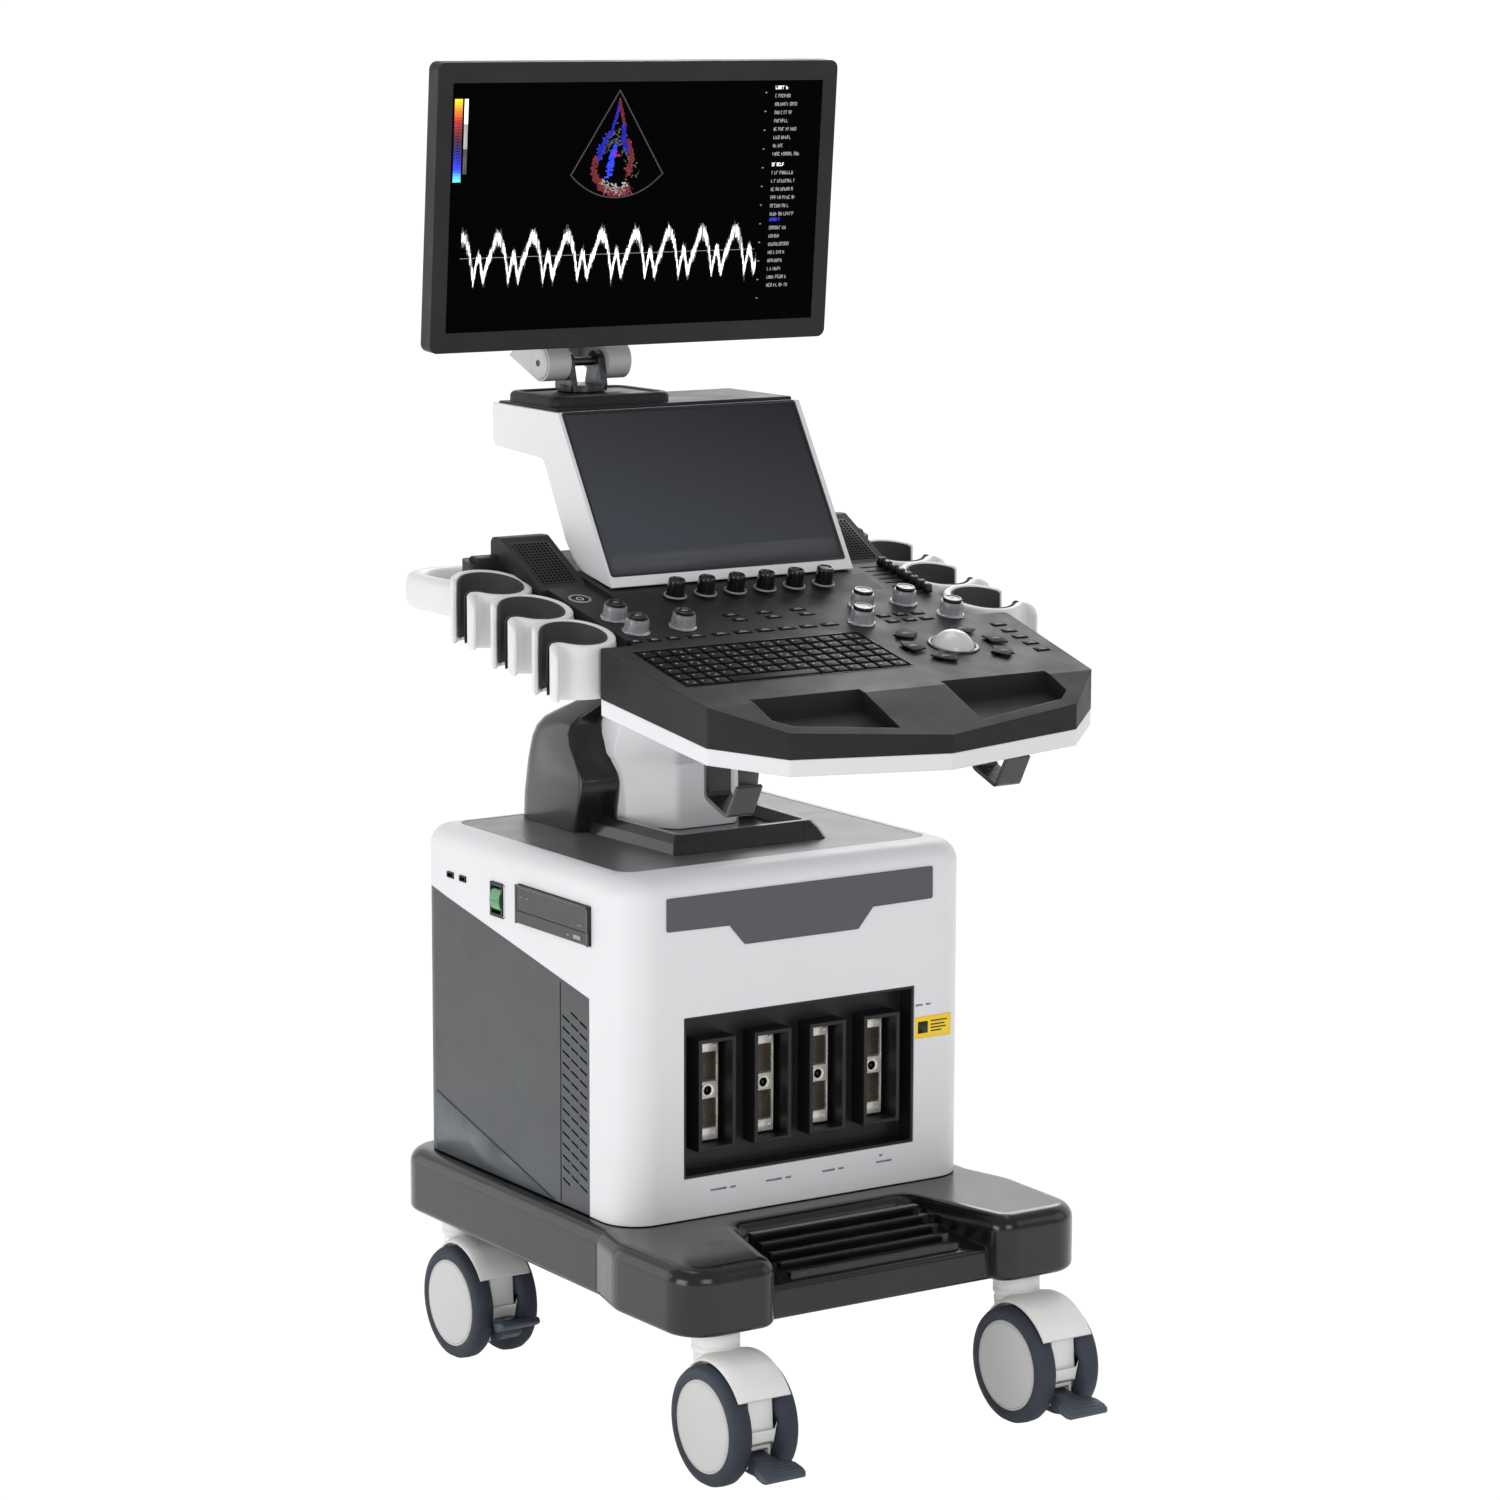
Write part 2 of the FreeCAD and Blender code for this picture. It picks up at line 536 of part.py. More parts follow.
PANEL_KEYS = [(x, 187.6, 14, 8) for x in (-206, -184, -161)]
PANEL_KEYS += [(x, 187.6, 20, 8) for x in (-133, -103, -75, -48, -21, 6, 33)]
PANEL_KEYS += [(x + shift, up, 18, 7) for x in (-59, -17, 25) for shift, up in ((0, 237), (2, 222))]
PANEL_KEYS += [(x, up, 15, 8.5) for x in (109, 131, 153) for up in (198.4, 181)]
PANEL_KEYS += [(222, up, 17, 9) for up in (145.6, 126, 106.5, 87, 67)]
BALL_X, BALL_UP = 131, 100.5
ROUND_BALL = ((36, 37), (-36, 37), (-51, 2), (55, 2), (-34, -33), (40, -33))
PANEL_KEYS += [(BALL_X + dx, BALL_UP + dy, 24, 11) for dx, dy in ROUND_BALL]
panel_keys, key_wells = [], [keyboard_well]
for number, (x, up, wide, tall) in enumerate(PANEL_KEYS):
    panel_keys.append(keycap("panel_key%d" % number, x, up, wide, tall))
    key_wells.append(keycap("panel_well%d" % number, x, up, wide, tall, 0.5, -5.6, 20))
panel_keys.append(rod("power_button", "z", "9", ("-195", "318", "-3"), "4.1"))
key_wells.append(rod("power_well", "z", "9.5", ("-195", "318", "-5.6"), "20"))
TGC_ROWS = [254 + 12.6 * n for n in range(8)]
for number, up in enumerate(TGC_ROWS):
    reach = (str(up - 1.5), str(up + 1.5))
    key_wells.append(box("slot_way%d" % number, ("176", "217"), reach, ("-12", "20")))
key_wells.append(rod("ball_way", "z", "27.3", (str(BALL_X), str(BALL_UP), "-30"), "60"))

MENU_KNOBS = [(-93 + 37.6 * n, 293.7) for n in range(6)]
ENCODERS = [(-191, 255), (-189.5, 214), (-131.6, 216), (102.7, 231), (71.2, 184.6), (156.8, 230),
            (187.2, 185.5)]
for number, (x, up) in enumerate(MENU_KNOBS + ENCODERS):
    key_wells.append(rod("shaft_way%d" % number, "z", "3.1", (str(x), str(up), "-20"), "60"))

pod_line = [(66, 850), (66, deck_height(66) - 1), (150, 926, 8), (170, 926, 8), (170, 850)]
pod = prism("pod", "x", pod_line, "163", "222")
shoulder = prism("shoulder", "x", [(151.2, 860), (151.2, 905, 6), (172, 909, 8), (172, 860)], "160", "248")
pods = mirrored("pods", fuse("pod_solid", pod, shoulder))
plinth_line = [(-24, deck_height(-24) - 2), (28, deck_height(28) + 5), (100, deck_height(100) + 5),
               (100, 850)]
plinth = prism("plinth", "x", plinth_line, "-162", "162")
deck_solid = fuse("deck_solid", deck, pods, plinth)
palm_plan = prism("palm_plan", "z", console_outline(11), "700", "1000")
palms = doc.addObject("Part::Common", "palm_pockets")
palms.Base = mirrored("palms", palm_cut)
palms.Tool = palm_plan
wells = on_deck(group("key_wells", *key_wells))
deck_cut = cut("deck_cut", deck_solid, deck_room, palms, wells)
node(deck_cut, "console_upper")

tray_profile = [(-370, tray_floor(-370)), (180, tray_floor(180)), (180, seam(180) - 0.3),
                (-370, seam(-370) - 0.3)]
tray_room = [(-375, tray_floor(-375) + 4), (185, tray_floor(185) + 4), (185, 1000), (-375, 1000)]
node(cut("console_lower", slab("tray_slab", 0.4, tray_profile), slab("tray_room", 5.4, tray_room)),
     "console_lower")

node(on_deck(group("keyboard_keys", *keyboard)), "keyboard_keys")
node(on_deck(group("panel_keys", *panel_keys)), "panel_keys")

ball = doc.addObject("Part::Sphere", "ball")
ball.Radius = 24.5
BALL_SUNK = -8
node(on_deck(group("trackball", ball), BALL_X, BALL_UP, BALL_SUNK), "trackball")
socket = doc.addObject("Part::Sphere", "ball_socket")
socket.Radius = 24.9
cup = cut("cup_shape", rod("cup_out", "z", "27", ("0", "0", "-24"), "33.5"), socket,
          rod("cup_mouth", "z", "23.9", ("0", "0", "0"), "20"))
node(on_deck(group("trackball_cup", cup), BALL_X, BALL_UP, BALL_SUNK), "trackball_cup")

sliders = []
for number, up in enumerate(TGC_ROWS):
    stem = box("slider_stem%d" % number, ("203", "206"), (str(up - 1.2), str(up + 1.2)), ("-9", "3"))
    cap = box("slider_cap%d" % number, ("200", "209"), (str(up - 4), str(up + 4)), ("0.6", "10"))
    sliders.append(fuse("slider%d" % number, stem, cap))
node(on_deck(group("tgc_sliders", *sliders)), "tgc_sliders")

knob = fuse("menu_knob", rod("menu_body", "z", "9", ("0", "0", "1"), "17"),
            rod("menu_shaft", "z", "3", ("0", "0", "-12"), "14"))
for number, (x, up) in enumerate(MENU_KNOBS, start=1):
    name = "menu_knob_%d" % number
    node(on_deck(group(name, knob), x, up, 5.4), name)
encoder = fuse("encoder", rod("encoder_flange", "z", "15", ("0", "0", "0.5"), "2"),
               rod("encoder_skirt", "z", "12.6", ("0", "0", "2"), "13"),
               rod("encoder_cap", "z", "9.5", ("0", "0", "14"), "5"),
               rod("encoder_shaft", "z", "3", ("0", "0", "-12"), "13"))
for number, (x, up) in enumerate(ENCODERS, start=1):
    name = "encoder_%d" % number
    node(on_deck(group(name, encoder), x, up), name)

# probe holders: three open cups a side, each holder_step higher than the one in front
cups, liners = [], []
for number in range(3):
    y = "holder_first+holder_pitch*%d" % number
    top = "holder_top+holder_step*%d" % number
    centre = ("holder_side", y, top + "-holder_tall")
    ring = rod("cup_ring%d" % number, "z", "holder_radius", centre, "holder_tall")
    lug = box("cup_lug%d" % number, ("214.2", "226"), (y + "-26", y + "+26"), (top + "-42", top + "-8"))
    hole = rod("cup_hole%d" % number, "z", "holder_bore", ("holder_side", y, "700"), "300")
    mouth = box("cup_mouth%d" % number, ("holder_side+20", "holder_side+60"), (y + "-20", y + "+6"),
                ("700", "1000"))
    beside_pod = box("beside_pod%d" % number, ("200", "222.3"), ("65.7", "200"), ("700", "1000"))
    cups.append(cut("cup%d" % number, fuse("cup_body%d" % number, ring, lug), hole, mouth, beside_pod))
    outer = rod("liner_out%d" % number, "z", "holder_bore-0.1", ("holder_side", y, top + "-holder_tall-4"),
                "holder_tall+2")
    inner = rod("liner_in%d" % number, "z", "holder_bore-2.5", ("holder_side", y, "700"), "300")
    liners.append(cut("liner%d" % number, outer, inner, mouth))
node(mirrored("probe_holders", group("cups", *cups, *liners)), "probe_holders")

HANDLE_LOW, HANDLE_TOP = 834, 872
loop = cut("handle_loop",
           prism("handle_out", "z", [(246, 176.4), (246, 361, 60), (-246, 361, 60), (-246, 176.4)],
                 str(HANDLE_LOW), str(HANDLE_TOP)),
           prism("handle_in", "z", [(222, 150), (222, 337, 42), (-222, 337, 42), (-222, 150)], "800", "900"))
node(rounded("rear_handle", loop, 8, lambda e: level_at(HANDLE_LOW)(e) or level_at(HANDLE_TOP)(e)),
     "rear_handle")
hook_top = tray_floor(-190) - 0.3
hook_line = [(-190, hook_top), (-190, 696.5, 5), (-226, 683, 3), (-244.5, 713.5), (-248, 711.5), (-229, 677.5, 7),
             (-186, 693, 9), (-186, hook_top)]
node(mirrored("cable_hooks", prism("hook", "x", hook_line, "152", "182")), "cable_hooks")

# ---------------------------------------------------------------- touch screen housing
FACE_FOOT, FACE_HEAD = (36.0, 880.0), (143.0, 1055.5)
FACE_LONG = math.dist(FACE_FOOT, FACE_HEAD)
ALONG = ((FACE_HEAD[0] - FACE_FOOT[0]) / FACE_LONG, (FACE_HEAD[1] - FACE_FOOT[1]) / FACE_LONG)


def on_face(along, out):
    """(y, z) of a point on the sloping front face of the housing."""
    y = FACE_FOOT[0] + ALONG[0] * along - ALONG[1] * out
    z = FACE_FOOT[1] + ALONG[1] * along + ALONG[0] * out
    return (y, z)


case_line = [FACE_FOOT, FACE_HEAD, (280, 1057), (280, 1011, 10), (174, 1005, 12), (128, 921), (104, 893.5)]
room_line = [(62, 892), (150, 1047), (274, 1051), (274, 1017), (170, 1011), (122, 925), (100, 899)]
case = prism("touch_block", "x", case_line, "-touch_half", "touch_half")
case_room = prism("touch_room", "x", room_line, "-touch_half+4", "touch_half-4")
bed_line = [on_face(14.8, 5), on_face(14.8, -4), on_face(203.2, -4), on_face(203.2, 5)]
glass_bed = prism("glass_bed", "x", bed_line, "-149", "147")
lid_bed = box("lid_bed", ("-150", "150"), ("150", "276"), ("1054", "1070"))
node(cut("touch_housing", case, case_room, glass_bed, lid_bed), "touch_housing")
pane_line = [on_face(15.1, -0.5), on_face(15.1, -3.8), on_face(202.9, -3.8), on_face(202.9, -0.5)]
node(prism("touch_panel", "x", pane_line, "-148.7", "146.7"), "touch_panel")
lid = box("touch_lid", ("-149.6", "149.6"), ("150.4", "275.6"), ("1054.2", "1059.5"))
plate_line = [(-132, 168, 12), (0, 168, 12), (0, 275, 12), (-132, 275, 12)]
plate = prism("arm_plate", "z", plate_line, "1059", "1069")
node(fuse("arm_base", lid, plate), "arm_base")


# ---------------------------------------------------------------- monitor arm
def link(label, start, start_radius, end, end_radius, low, high):
    """A bar with round ends between two pivots (y, z), from low to high across."""
    dy, dz = end[0] - start[0], end[1] - start[1]
    long = math.hypot(dy, dz)
    ny, nz = -dz / long, dy / long
    sides = [(start[0] + ny * start_radius, start[1] + nz * start_radius),
             (end[0] + ny * end_radius, end[1] + nz * end_radius),
             (end[0] - ny * end_radius, end[1] - nz * end_radius),
             (start[0] - ny * start_radius, start[1] - nz * start_radius)]
    wide = "(%s)-(%s)" % (high, low)
    return fuse(label, prism(label + "_bar", "x", sides, low, high),
                rod(label + "_start", "x", str(start_radius), (low, str(start[0]), str(start[1])), wide),
                rod(label + "_end", "x", str(end_radius), (low, str(end[0]), str(end[1])), wide))


hub_at = (dim("hub_back"), dim("hub_height"))
elbow = (dim("elbow_back"), dim("elbow_height"))
head = (dim("head_back"), dim("head_height"))
ears = [link("ear%d" % n, hub_at, 11, (hub_at[0], 1076), 17, "arm_side+(%s)" % low, "arm_side+(%s)" % high)
        for n, (low, high) in enumerate((("-23", "-15"), ("15", "23")))]
turntable = rod("turntable", "z", "26", ("arm_side", "hub_back", "1069.3"), "7")
pin = rod("hub_pin", "x", "5", ("arm_side-50", "hub_back", "hub_height"), "100")
yoke_floor = box("yoke_floor", ("-200", "100"), ("100", "350"), ("1000", "1069.3"))
ears_cut = cut("yoke_bored", fuse("yoke_solid", turntable, *ears), yoke_floor,
               rod("yoke_bore", "x", "5", ("arm_side-60", "hub_back", "hub_height"), "120"))
node(group("arm_yoke", ears_cut, pin), "arm_yoke")

lower = link("lower_link", hub_at, dim("hub_radius"), elbow, 17, "arm_side-52", "arm_side+52")
fork_gap = link("fork_gap", (hub_at[0] - 40, hub_at[1] - 14), 40, (hub_at[0] + 12, hub_at[1] + 3), 30,
                "arm_side-24", "arm_side+24")
tongue = [link("elbow_side%d" % n, (elbow[0] - 26, elbow[1] - 10), 24, (elbow[0] + 40, elbow[1] + 16), 26,
               "arm_side+(%s)" % low, "arm_side+(%s)" % high)
          for n, (low, high) in enumerate((("-60", "-18"), ("18", "60")))]
lower_bore = rod("lower_bore", "x", "5+axle_clearance", ("arm_side-60", "hub_back", "hub_height"), "120")
elbow_hole = rod("elbow_hole", "x", "5", ("arm_side-60", "elbow_back", "elbow_height"), "120")
elbow_pin = rod("elbow_pin", "x", "5", ("arm_side-34", "elbow_back", "elbow_height"), "68")
lower_body = cut("lower_arm_body", lower, fork_gap, lower_bore, elbow_hole, *tongue)
node(group("lower_arm", lower_body, elbow_pin), "lower_arm")

upper = link("upper_link", elbow, 16, head, 15, "arm_side-34", "arm_side+34")
elbow_gap = link("elbow_gap", elbow, 21, (elbow[0] - 14, elbow[1] + 16), 20, "arm_side-18.3", "arm_side+18.3")
head_sides = [link("head_side%d" % n, head, 19, (head[0] - 40, head[1] + 20), 20,
                   "arm_side+(%s)" % low, "arm_side+(%s)" % high)
              for n, (low, high) in enumerate((("-60", "-16"), ("16", "60")))]
upper_bore = rod("upper_bore", "x", "5+axle_clearance", ("arm_side-60", "elbow_back", "elbow_height"), "120")
head_hole = rod("head_hole", "x", "5", ("arm_side-60", "head_back", "head_height"), "120")
head_pin = rod("head_pin", "x", "5", ("arm_side-26", "head_back", "head_height"), "52")
upper_body = cut("upper_arm_body", upper, elbow_gap, upper_bore, head_hole, *head_sides)
node(group("upper_arm", upper_body, head_pin), "upper_arm")

# ---------------------------------------------------------------- monitor
def on_monitor(obj):
    """Hang an object from the middle of the monitor's front face, tilted with it."""
    base = V(dim("monitor_side"), dim("monitor_front"), dim("monitor_height"))
    obj.Placement = FreeCAD.Placement(base, FreeCAD.Rotation(V(1, 0, 0), dim("monitor_tilt")))
    return obj


shell_box = box("shell_box", ("-monitor_wide/2", "monitor_wide/2"), ("0", "monitor_deep"),
                ("-monitor_tall/2", "monitor_tall/2"))
shell = rounded("shell_round", shell_box, 9,
                lambda e: e.BoundBox.YLength > 5 and e.BoundBox.XLength < 0.1 and e.BoundBox.ZLength < 0.1)
bulge = rounded("bulge_round", box("bulge", ("-170", "170"), ("15", "40"), ("-110", "110")), 8,
                lambda e: e.BoundBox.YMin > 39)
screen_bed = box("screen_bed", ("-232.2", "232.2"), ("-5", "2.2"), ("-130.7", "130.7"))
shell_solid = cut("shell_solid", fuse("shell_body", shell, bulge), screen_bed)
monitor_case = on_monitor(group("monitor_case", shell_solid))
pane = box("screen_pane", ("-232", "232"), ("0.7", "2.1"), ("-130.5", "130.5"))
node(on_monitor(group("monitor_screen", pane)), "monitor_screen")
lugs = [link("lug%d" % n, (0, 0), 13, (-24, 4), 15, low, high)
        for n, (low, high) in enumerate((("-24", "-16.3"), ("16.3", "24")))]
lug_bore = rod("lug_bore", "x", "5+axle_clearance", ("-40", "0", "0"), "80")
lug_pair = group("lug_pair", cut("lug_solid", fuse("lug_body", *lugs), lug_bore))
lug_pair.Placement = FreeCAD.Placement(V(dim("arm_side"), *head), FreeCAD.Rotation())
mount = on_monitor(group("mount_square", box("mount_box", ("-82", "18"), ("40.2", "45"), ("-56", "44"))))
behind = on_monitor(group("behind_mount", box("behind_box", ("-90", "30"), ("0", "40.2"), ("-90", "90"))))
bracket = cut("monitor_bracket", fuse("bracket_solid", lug_pair, mount), behind)
node(group("monitor_shell", monitor_case, bracket), "monitor_shell")


# ---------------------------------------------------------------- checks and export
doc.recompute()
for item in doc.Objects:
    if "Invalid" in item.State or "Error" in item.State:
        raise RuntimeError("failed: %s %s" % (item.Name, item.State))
for item in NODES:
    if item.Shape.isNull() or not item.Shape.isValid():
        raise RuntimeError("bad shape: " + item.Label)
    item.Shape.exportStep("parts/%s.step" % item.Label)
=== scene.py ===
import json
import math
import random

import bmesh
import bpy
from mathutils import Matrix, Vector


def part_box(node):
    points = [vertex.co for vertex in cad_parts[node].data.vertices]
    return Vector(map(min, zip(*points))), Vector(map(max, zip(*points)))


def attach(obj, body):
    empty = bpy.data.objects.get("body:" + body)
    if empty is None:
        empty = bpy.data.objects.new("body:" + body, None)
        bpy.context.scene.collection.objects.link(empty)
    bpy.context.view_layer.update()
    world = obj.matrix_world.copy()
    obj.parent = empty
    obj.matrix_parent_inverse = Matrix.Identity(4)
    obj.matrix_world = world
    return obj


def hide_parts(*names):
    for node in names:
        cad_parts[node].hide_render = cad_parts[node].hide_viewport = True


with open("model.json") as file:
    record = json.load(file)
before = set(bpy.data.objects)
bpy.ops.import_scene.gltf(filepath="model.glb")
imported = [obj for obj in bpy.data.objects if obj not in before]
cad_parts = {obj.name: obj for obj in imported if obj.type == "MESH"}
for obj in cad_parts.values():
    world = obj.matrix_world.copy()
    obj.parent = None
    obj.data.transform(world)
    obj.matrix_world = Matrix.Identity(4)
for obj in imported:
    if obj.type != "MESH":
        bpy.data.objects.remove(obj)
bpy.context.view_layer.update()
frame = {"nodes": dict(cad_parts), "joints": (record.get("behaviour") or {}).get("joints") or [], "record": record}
NODES = frame["nodes"]
JOINT = {joint["name"]: joint for joint in frame["joints"]}
MOUNT = {mount["name"]: mount for mount in frame["record"]["mounts"]}
# the sign of X on each side of the object, and its name
SIDES = ((-1, "left"), (1, "right"))
QUARTER = math.radians(90)
random.seed(7)


# ---------------------------------------------------------------- materials
def linear(hex_colour):
    """A linear colour from an sRGB hex string."""
    parts = [int(hex_colour[i:i + 2], 16) / 255 for i in (0, 2, 4)]
    return [c / 12.92 if c <= 0.04045 else ((c + 0.055) / 1.055) ** 2.4 for c in parts] + [1.0]


def shade(colour, scale, lift=0.0):
    """A linear colour made darker or paler."""
    return [min(1, c * scale + lift) for c in colour[:3]] + [1]


class Graph:
    """A small helper that adds and links shader nodes."""

    def __init__(self, name):
        self.material = bpy.data.materials.new(name)
        self.material.use_nodes = True
        self.tree = self.material.node_tree
        self.shader = self.tree.nodes["Principled BSDF"]
        self.place = self.add("ShaderNodeTexCoord").outputs["Object"]

    def add(self, kind, **values):
        """A new node with its settings and input values."""
        made = self.tree.nodes.new(kind)
        for key, value in values.items():
            if hasattr(made, key):
                setattr(made, key, value)
            else:
                made.inputs[key.replace("_", " ")].default_value = value
        return made

    def put(self, **values):
        """Set the shader's inputs; an underscore stands for a space."""
        for key, value in values.items():
            self.shader.inputs[key.replace("_", " ")].default_value = value

    def join(self, source, target):
        """Link an output to an input, or to the shader's input of that name."""
        self.tree.links.new(source, self.shader.inputs[target] if isinstance(target, str) else target)

    def noise(self, scale, detail=4.0):
        """Noise fixed to the object."""
        made = self.add("ShaderNodeTexNoise", Scale=scale, Detail=detail, Roughness=0.55)
        self.join(self.place, made.inputs["Vector"])
        return made.outputs["Fac"]

    def span(self, value, low, high, out_low=0.0, out_high=1.0):
        """A value's range mapped to another range."""
        made = self.add("ShaderNodeMapRange")
        self.join(value, made.inputs["Value"])
        for key, number in zip(("From Min", "From Max", "To Min", "To Max"), (low, high, out_low, out_high)):
            made.inputs[key].default_value = number
        return made.outputs["Result"]

    def blend(self, factor, first, second):
        """Two colours or outputs mixed by a factor."""
        made = self.add("ShaderNodeMix", data_type="RGBA")
        self.join(factor, made.inputs["Factor"])
        for socket, value in ((made.inputs["A"], first), (made.inputs["B"], second)):
            if isinstance(value, (list, tuple)):
                socket.default_value = value
            else:
                self.join(value, socket)
        return made.outputs["Result"]

    def gloss(self, scale, detail, low, high):
        """Uneven roughness between two values."""
        self.join(self.span(self.noise(scale, detail), 0.3, 0.7, low, high), "Roughness")

    def relief(self, scale, strength, depth=0.0004, normal=None):
        """Fine bumps, laid over another normal when one is given."""
        bump = self.add("ShaderNodeBump", Strength=strength, Distance=depth)
        self.join(self.noise(scale, 2.0), bump.inputs["Height"])
        if normal is not None:
            self.join(normal, bump.inputs["Normal"])
        self.join(bump.outputs["Normal"], "Normal")

    def split(self):
        """The three coordinates of a point in the shared frame."""
        made = self.add("ShaderNodeSeparateXYZ")
        self.join(self.place, made.inputs[0])
        return made.outputs

    def edges(self, radius):
        """How strongly a point lies on a rounded edge, and the bevelled normal that tells it."""
        flat = self.add("ShaderNodeNewGeometry")
        bevel = self.add("ShaderNodeBevel", samples=4, Radius=radius)
        dot = self.add("ShaderNodeVectorMath", operation="DOT_PRODUCT")
        self.join(bevel.outputs["Normal"], dot.inputs[0])
        self.join(flat.outputs["Normal"], dot.inputs[1])
        return self.span(dot.outputs["Value"], 0.995, 0.8), bevel.outputs["Normal"]


def plastic(name, colour, rough=0.4, grain=900.0, bump=0.06, spread=0.06, wear=0.25, coat=0.0, soft=0.0008,
            shine=0.5):
    """Moulded plastic: slow colour drift, fine spark-eroded grain, smudged gloss, and edges painted lighter in
    noisy patches, partly wear and partly a painted highlight.
    """
    g = Graph(name)
    base = linear(colour)
    drift = g.blend(g.span(g.noise(7.0), 0.35, 0.65), shade(base, 1 - spread), shade(base, 1 + spread, 0.004))
    # the edge mask lightens the colour in noisy patches, up to the wear amount: partly wear, partly a painted
    # highlight along the edges
    edge_wear_and_highlight, normal = g.edges(soft * 2)
    patch = g.add("ShaderNodeMath", operation="MULTIPLY")
    g.join(edge_wear_and_highlight, patch.inputs[0])
    g.join(g.span(g.noise(60.0), 0.42, 0.62, 0.0, wear), patch.inputs[1])
    g.join(g.blend(patch.outputs[0], drift, shade(base, 1.5, 0.05)), "Base Color")
    g.gloss(24.0, 6.0, rough - 0.05, rough + 0.07)
    g.relief(grain, bump, normal=normal)
    g.put(Coat_Weight=coat, Specular_IOR_Level=shine, Coat_Roughness=0.12)
    return g.material


def metal(name, colour, rough=0.3, grain=500.0, bump=0.05, metallic=1.0):
    """Plated or painted metal with fine scuffs."""
    g = Graph(name)
    base = linear(colour)
    g.join(g.blend(g.span(g.noise(45.0), 0.4, 0.7), base, shade(base, 0.7)), "Base Color")
    g.gloss(130.0, 6.0, rough - 0.08, rough + 0.12)
    g.relief(grain, bump, 0.0003, g.edges(0.001)[1])
    g.put(Metallic=metallic)
    return g.material


def clear(name, colour, rough=0.12):
    """Clear moulded acrylic, seen mostly by its highlights."""
    g = Graph(name)
    g.put(Base_Color=linear(colour), Transmission_Weight=0.85, IOR=1.46)
    g.gloss(200.0, 4.0, rough, rough + 0.15)
    g.relief(700.0, 0.12)
    return g.material


def glow(name, tone, strength):
    """A lit patch of display, slightly uneven like a real panel."""
    g = Graph(name)
    uneven = g.blend(g.span(g.noise(900.0), 0.3, 0.7), tone, shade(tone, 0.8))
    g.join(uneven, "Emission Color")
    g.join(uneven, "Base Color")
    g.put(Emission_Strength=strength, Roughness=0.25)
    return g.material


def glass(name, low, high, z_low, z_high, rough=0.12, shine=0.16):
    """Dark display glass whose colour lightens towards one corner, a painted reflection."""
    g = Graph(name)
    split = g.split()
    # painted reflection: the colour runs from dark to light towards the bottom and the left of the glass
    mixed = g.add("ShaderNodeMath", operation="MULTIPLY_ADD")
    g.join(split["X"], mixed.inputs[0])
    mixed.inputs[1].default_value = 0.35
    g.join(split["Z"], mixed.inputs[2])
    tone = g.blend(g.span(mixed.outputs[0], z_high, z_low), linear(low), linear(high))
    speck = g.span(g.noise(1500.0, 2.0), 0.62, 0.75, 0.0, shine)
    g.join(g.blend(speck, tone, linear("5a5d60")), "Base Color")
    g.gloss(12.0, 4.0, rough, rough + 0.06)
    g.put(Specular_IOR_Level=shine)
    return g.material


def slate(name):
    """Slate plastic that goes darker upwards."""
    g = Graph(name)
    tone = g.blend(g.span(g.split()["Z"], 0.25, 0.55), linear("3c4044"), linear("2d3033"))
    g.join(g.blend(g.span(g.noise(6.0), 0.35, 0.65, 0.0, 0.3), tone, linear("25272a")), "Base Color")
    g.gloss(30.0, 5.0, 0.3, 0.42)
    g.relief(900.0, 0.06, normal=g.edges(0.001)[1])
    return g.material


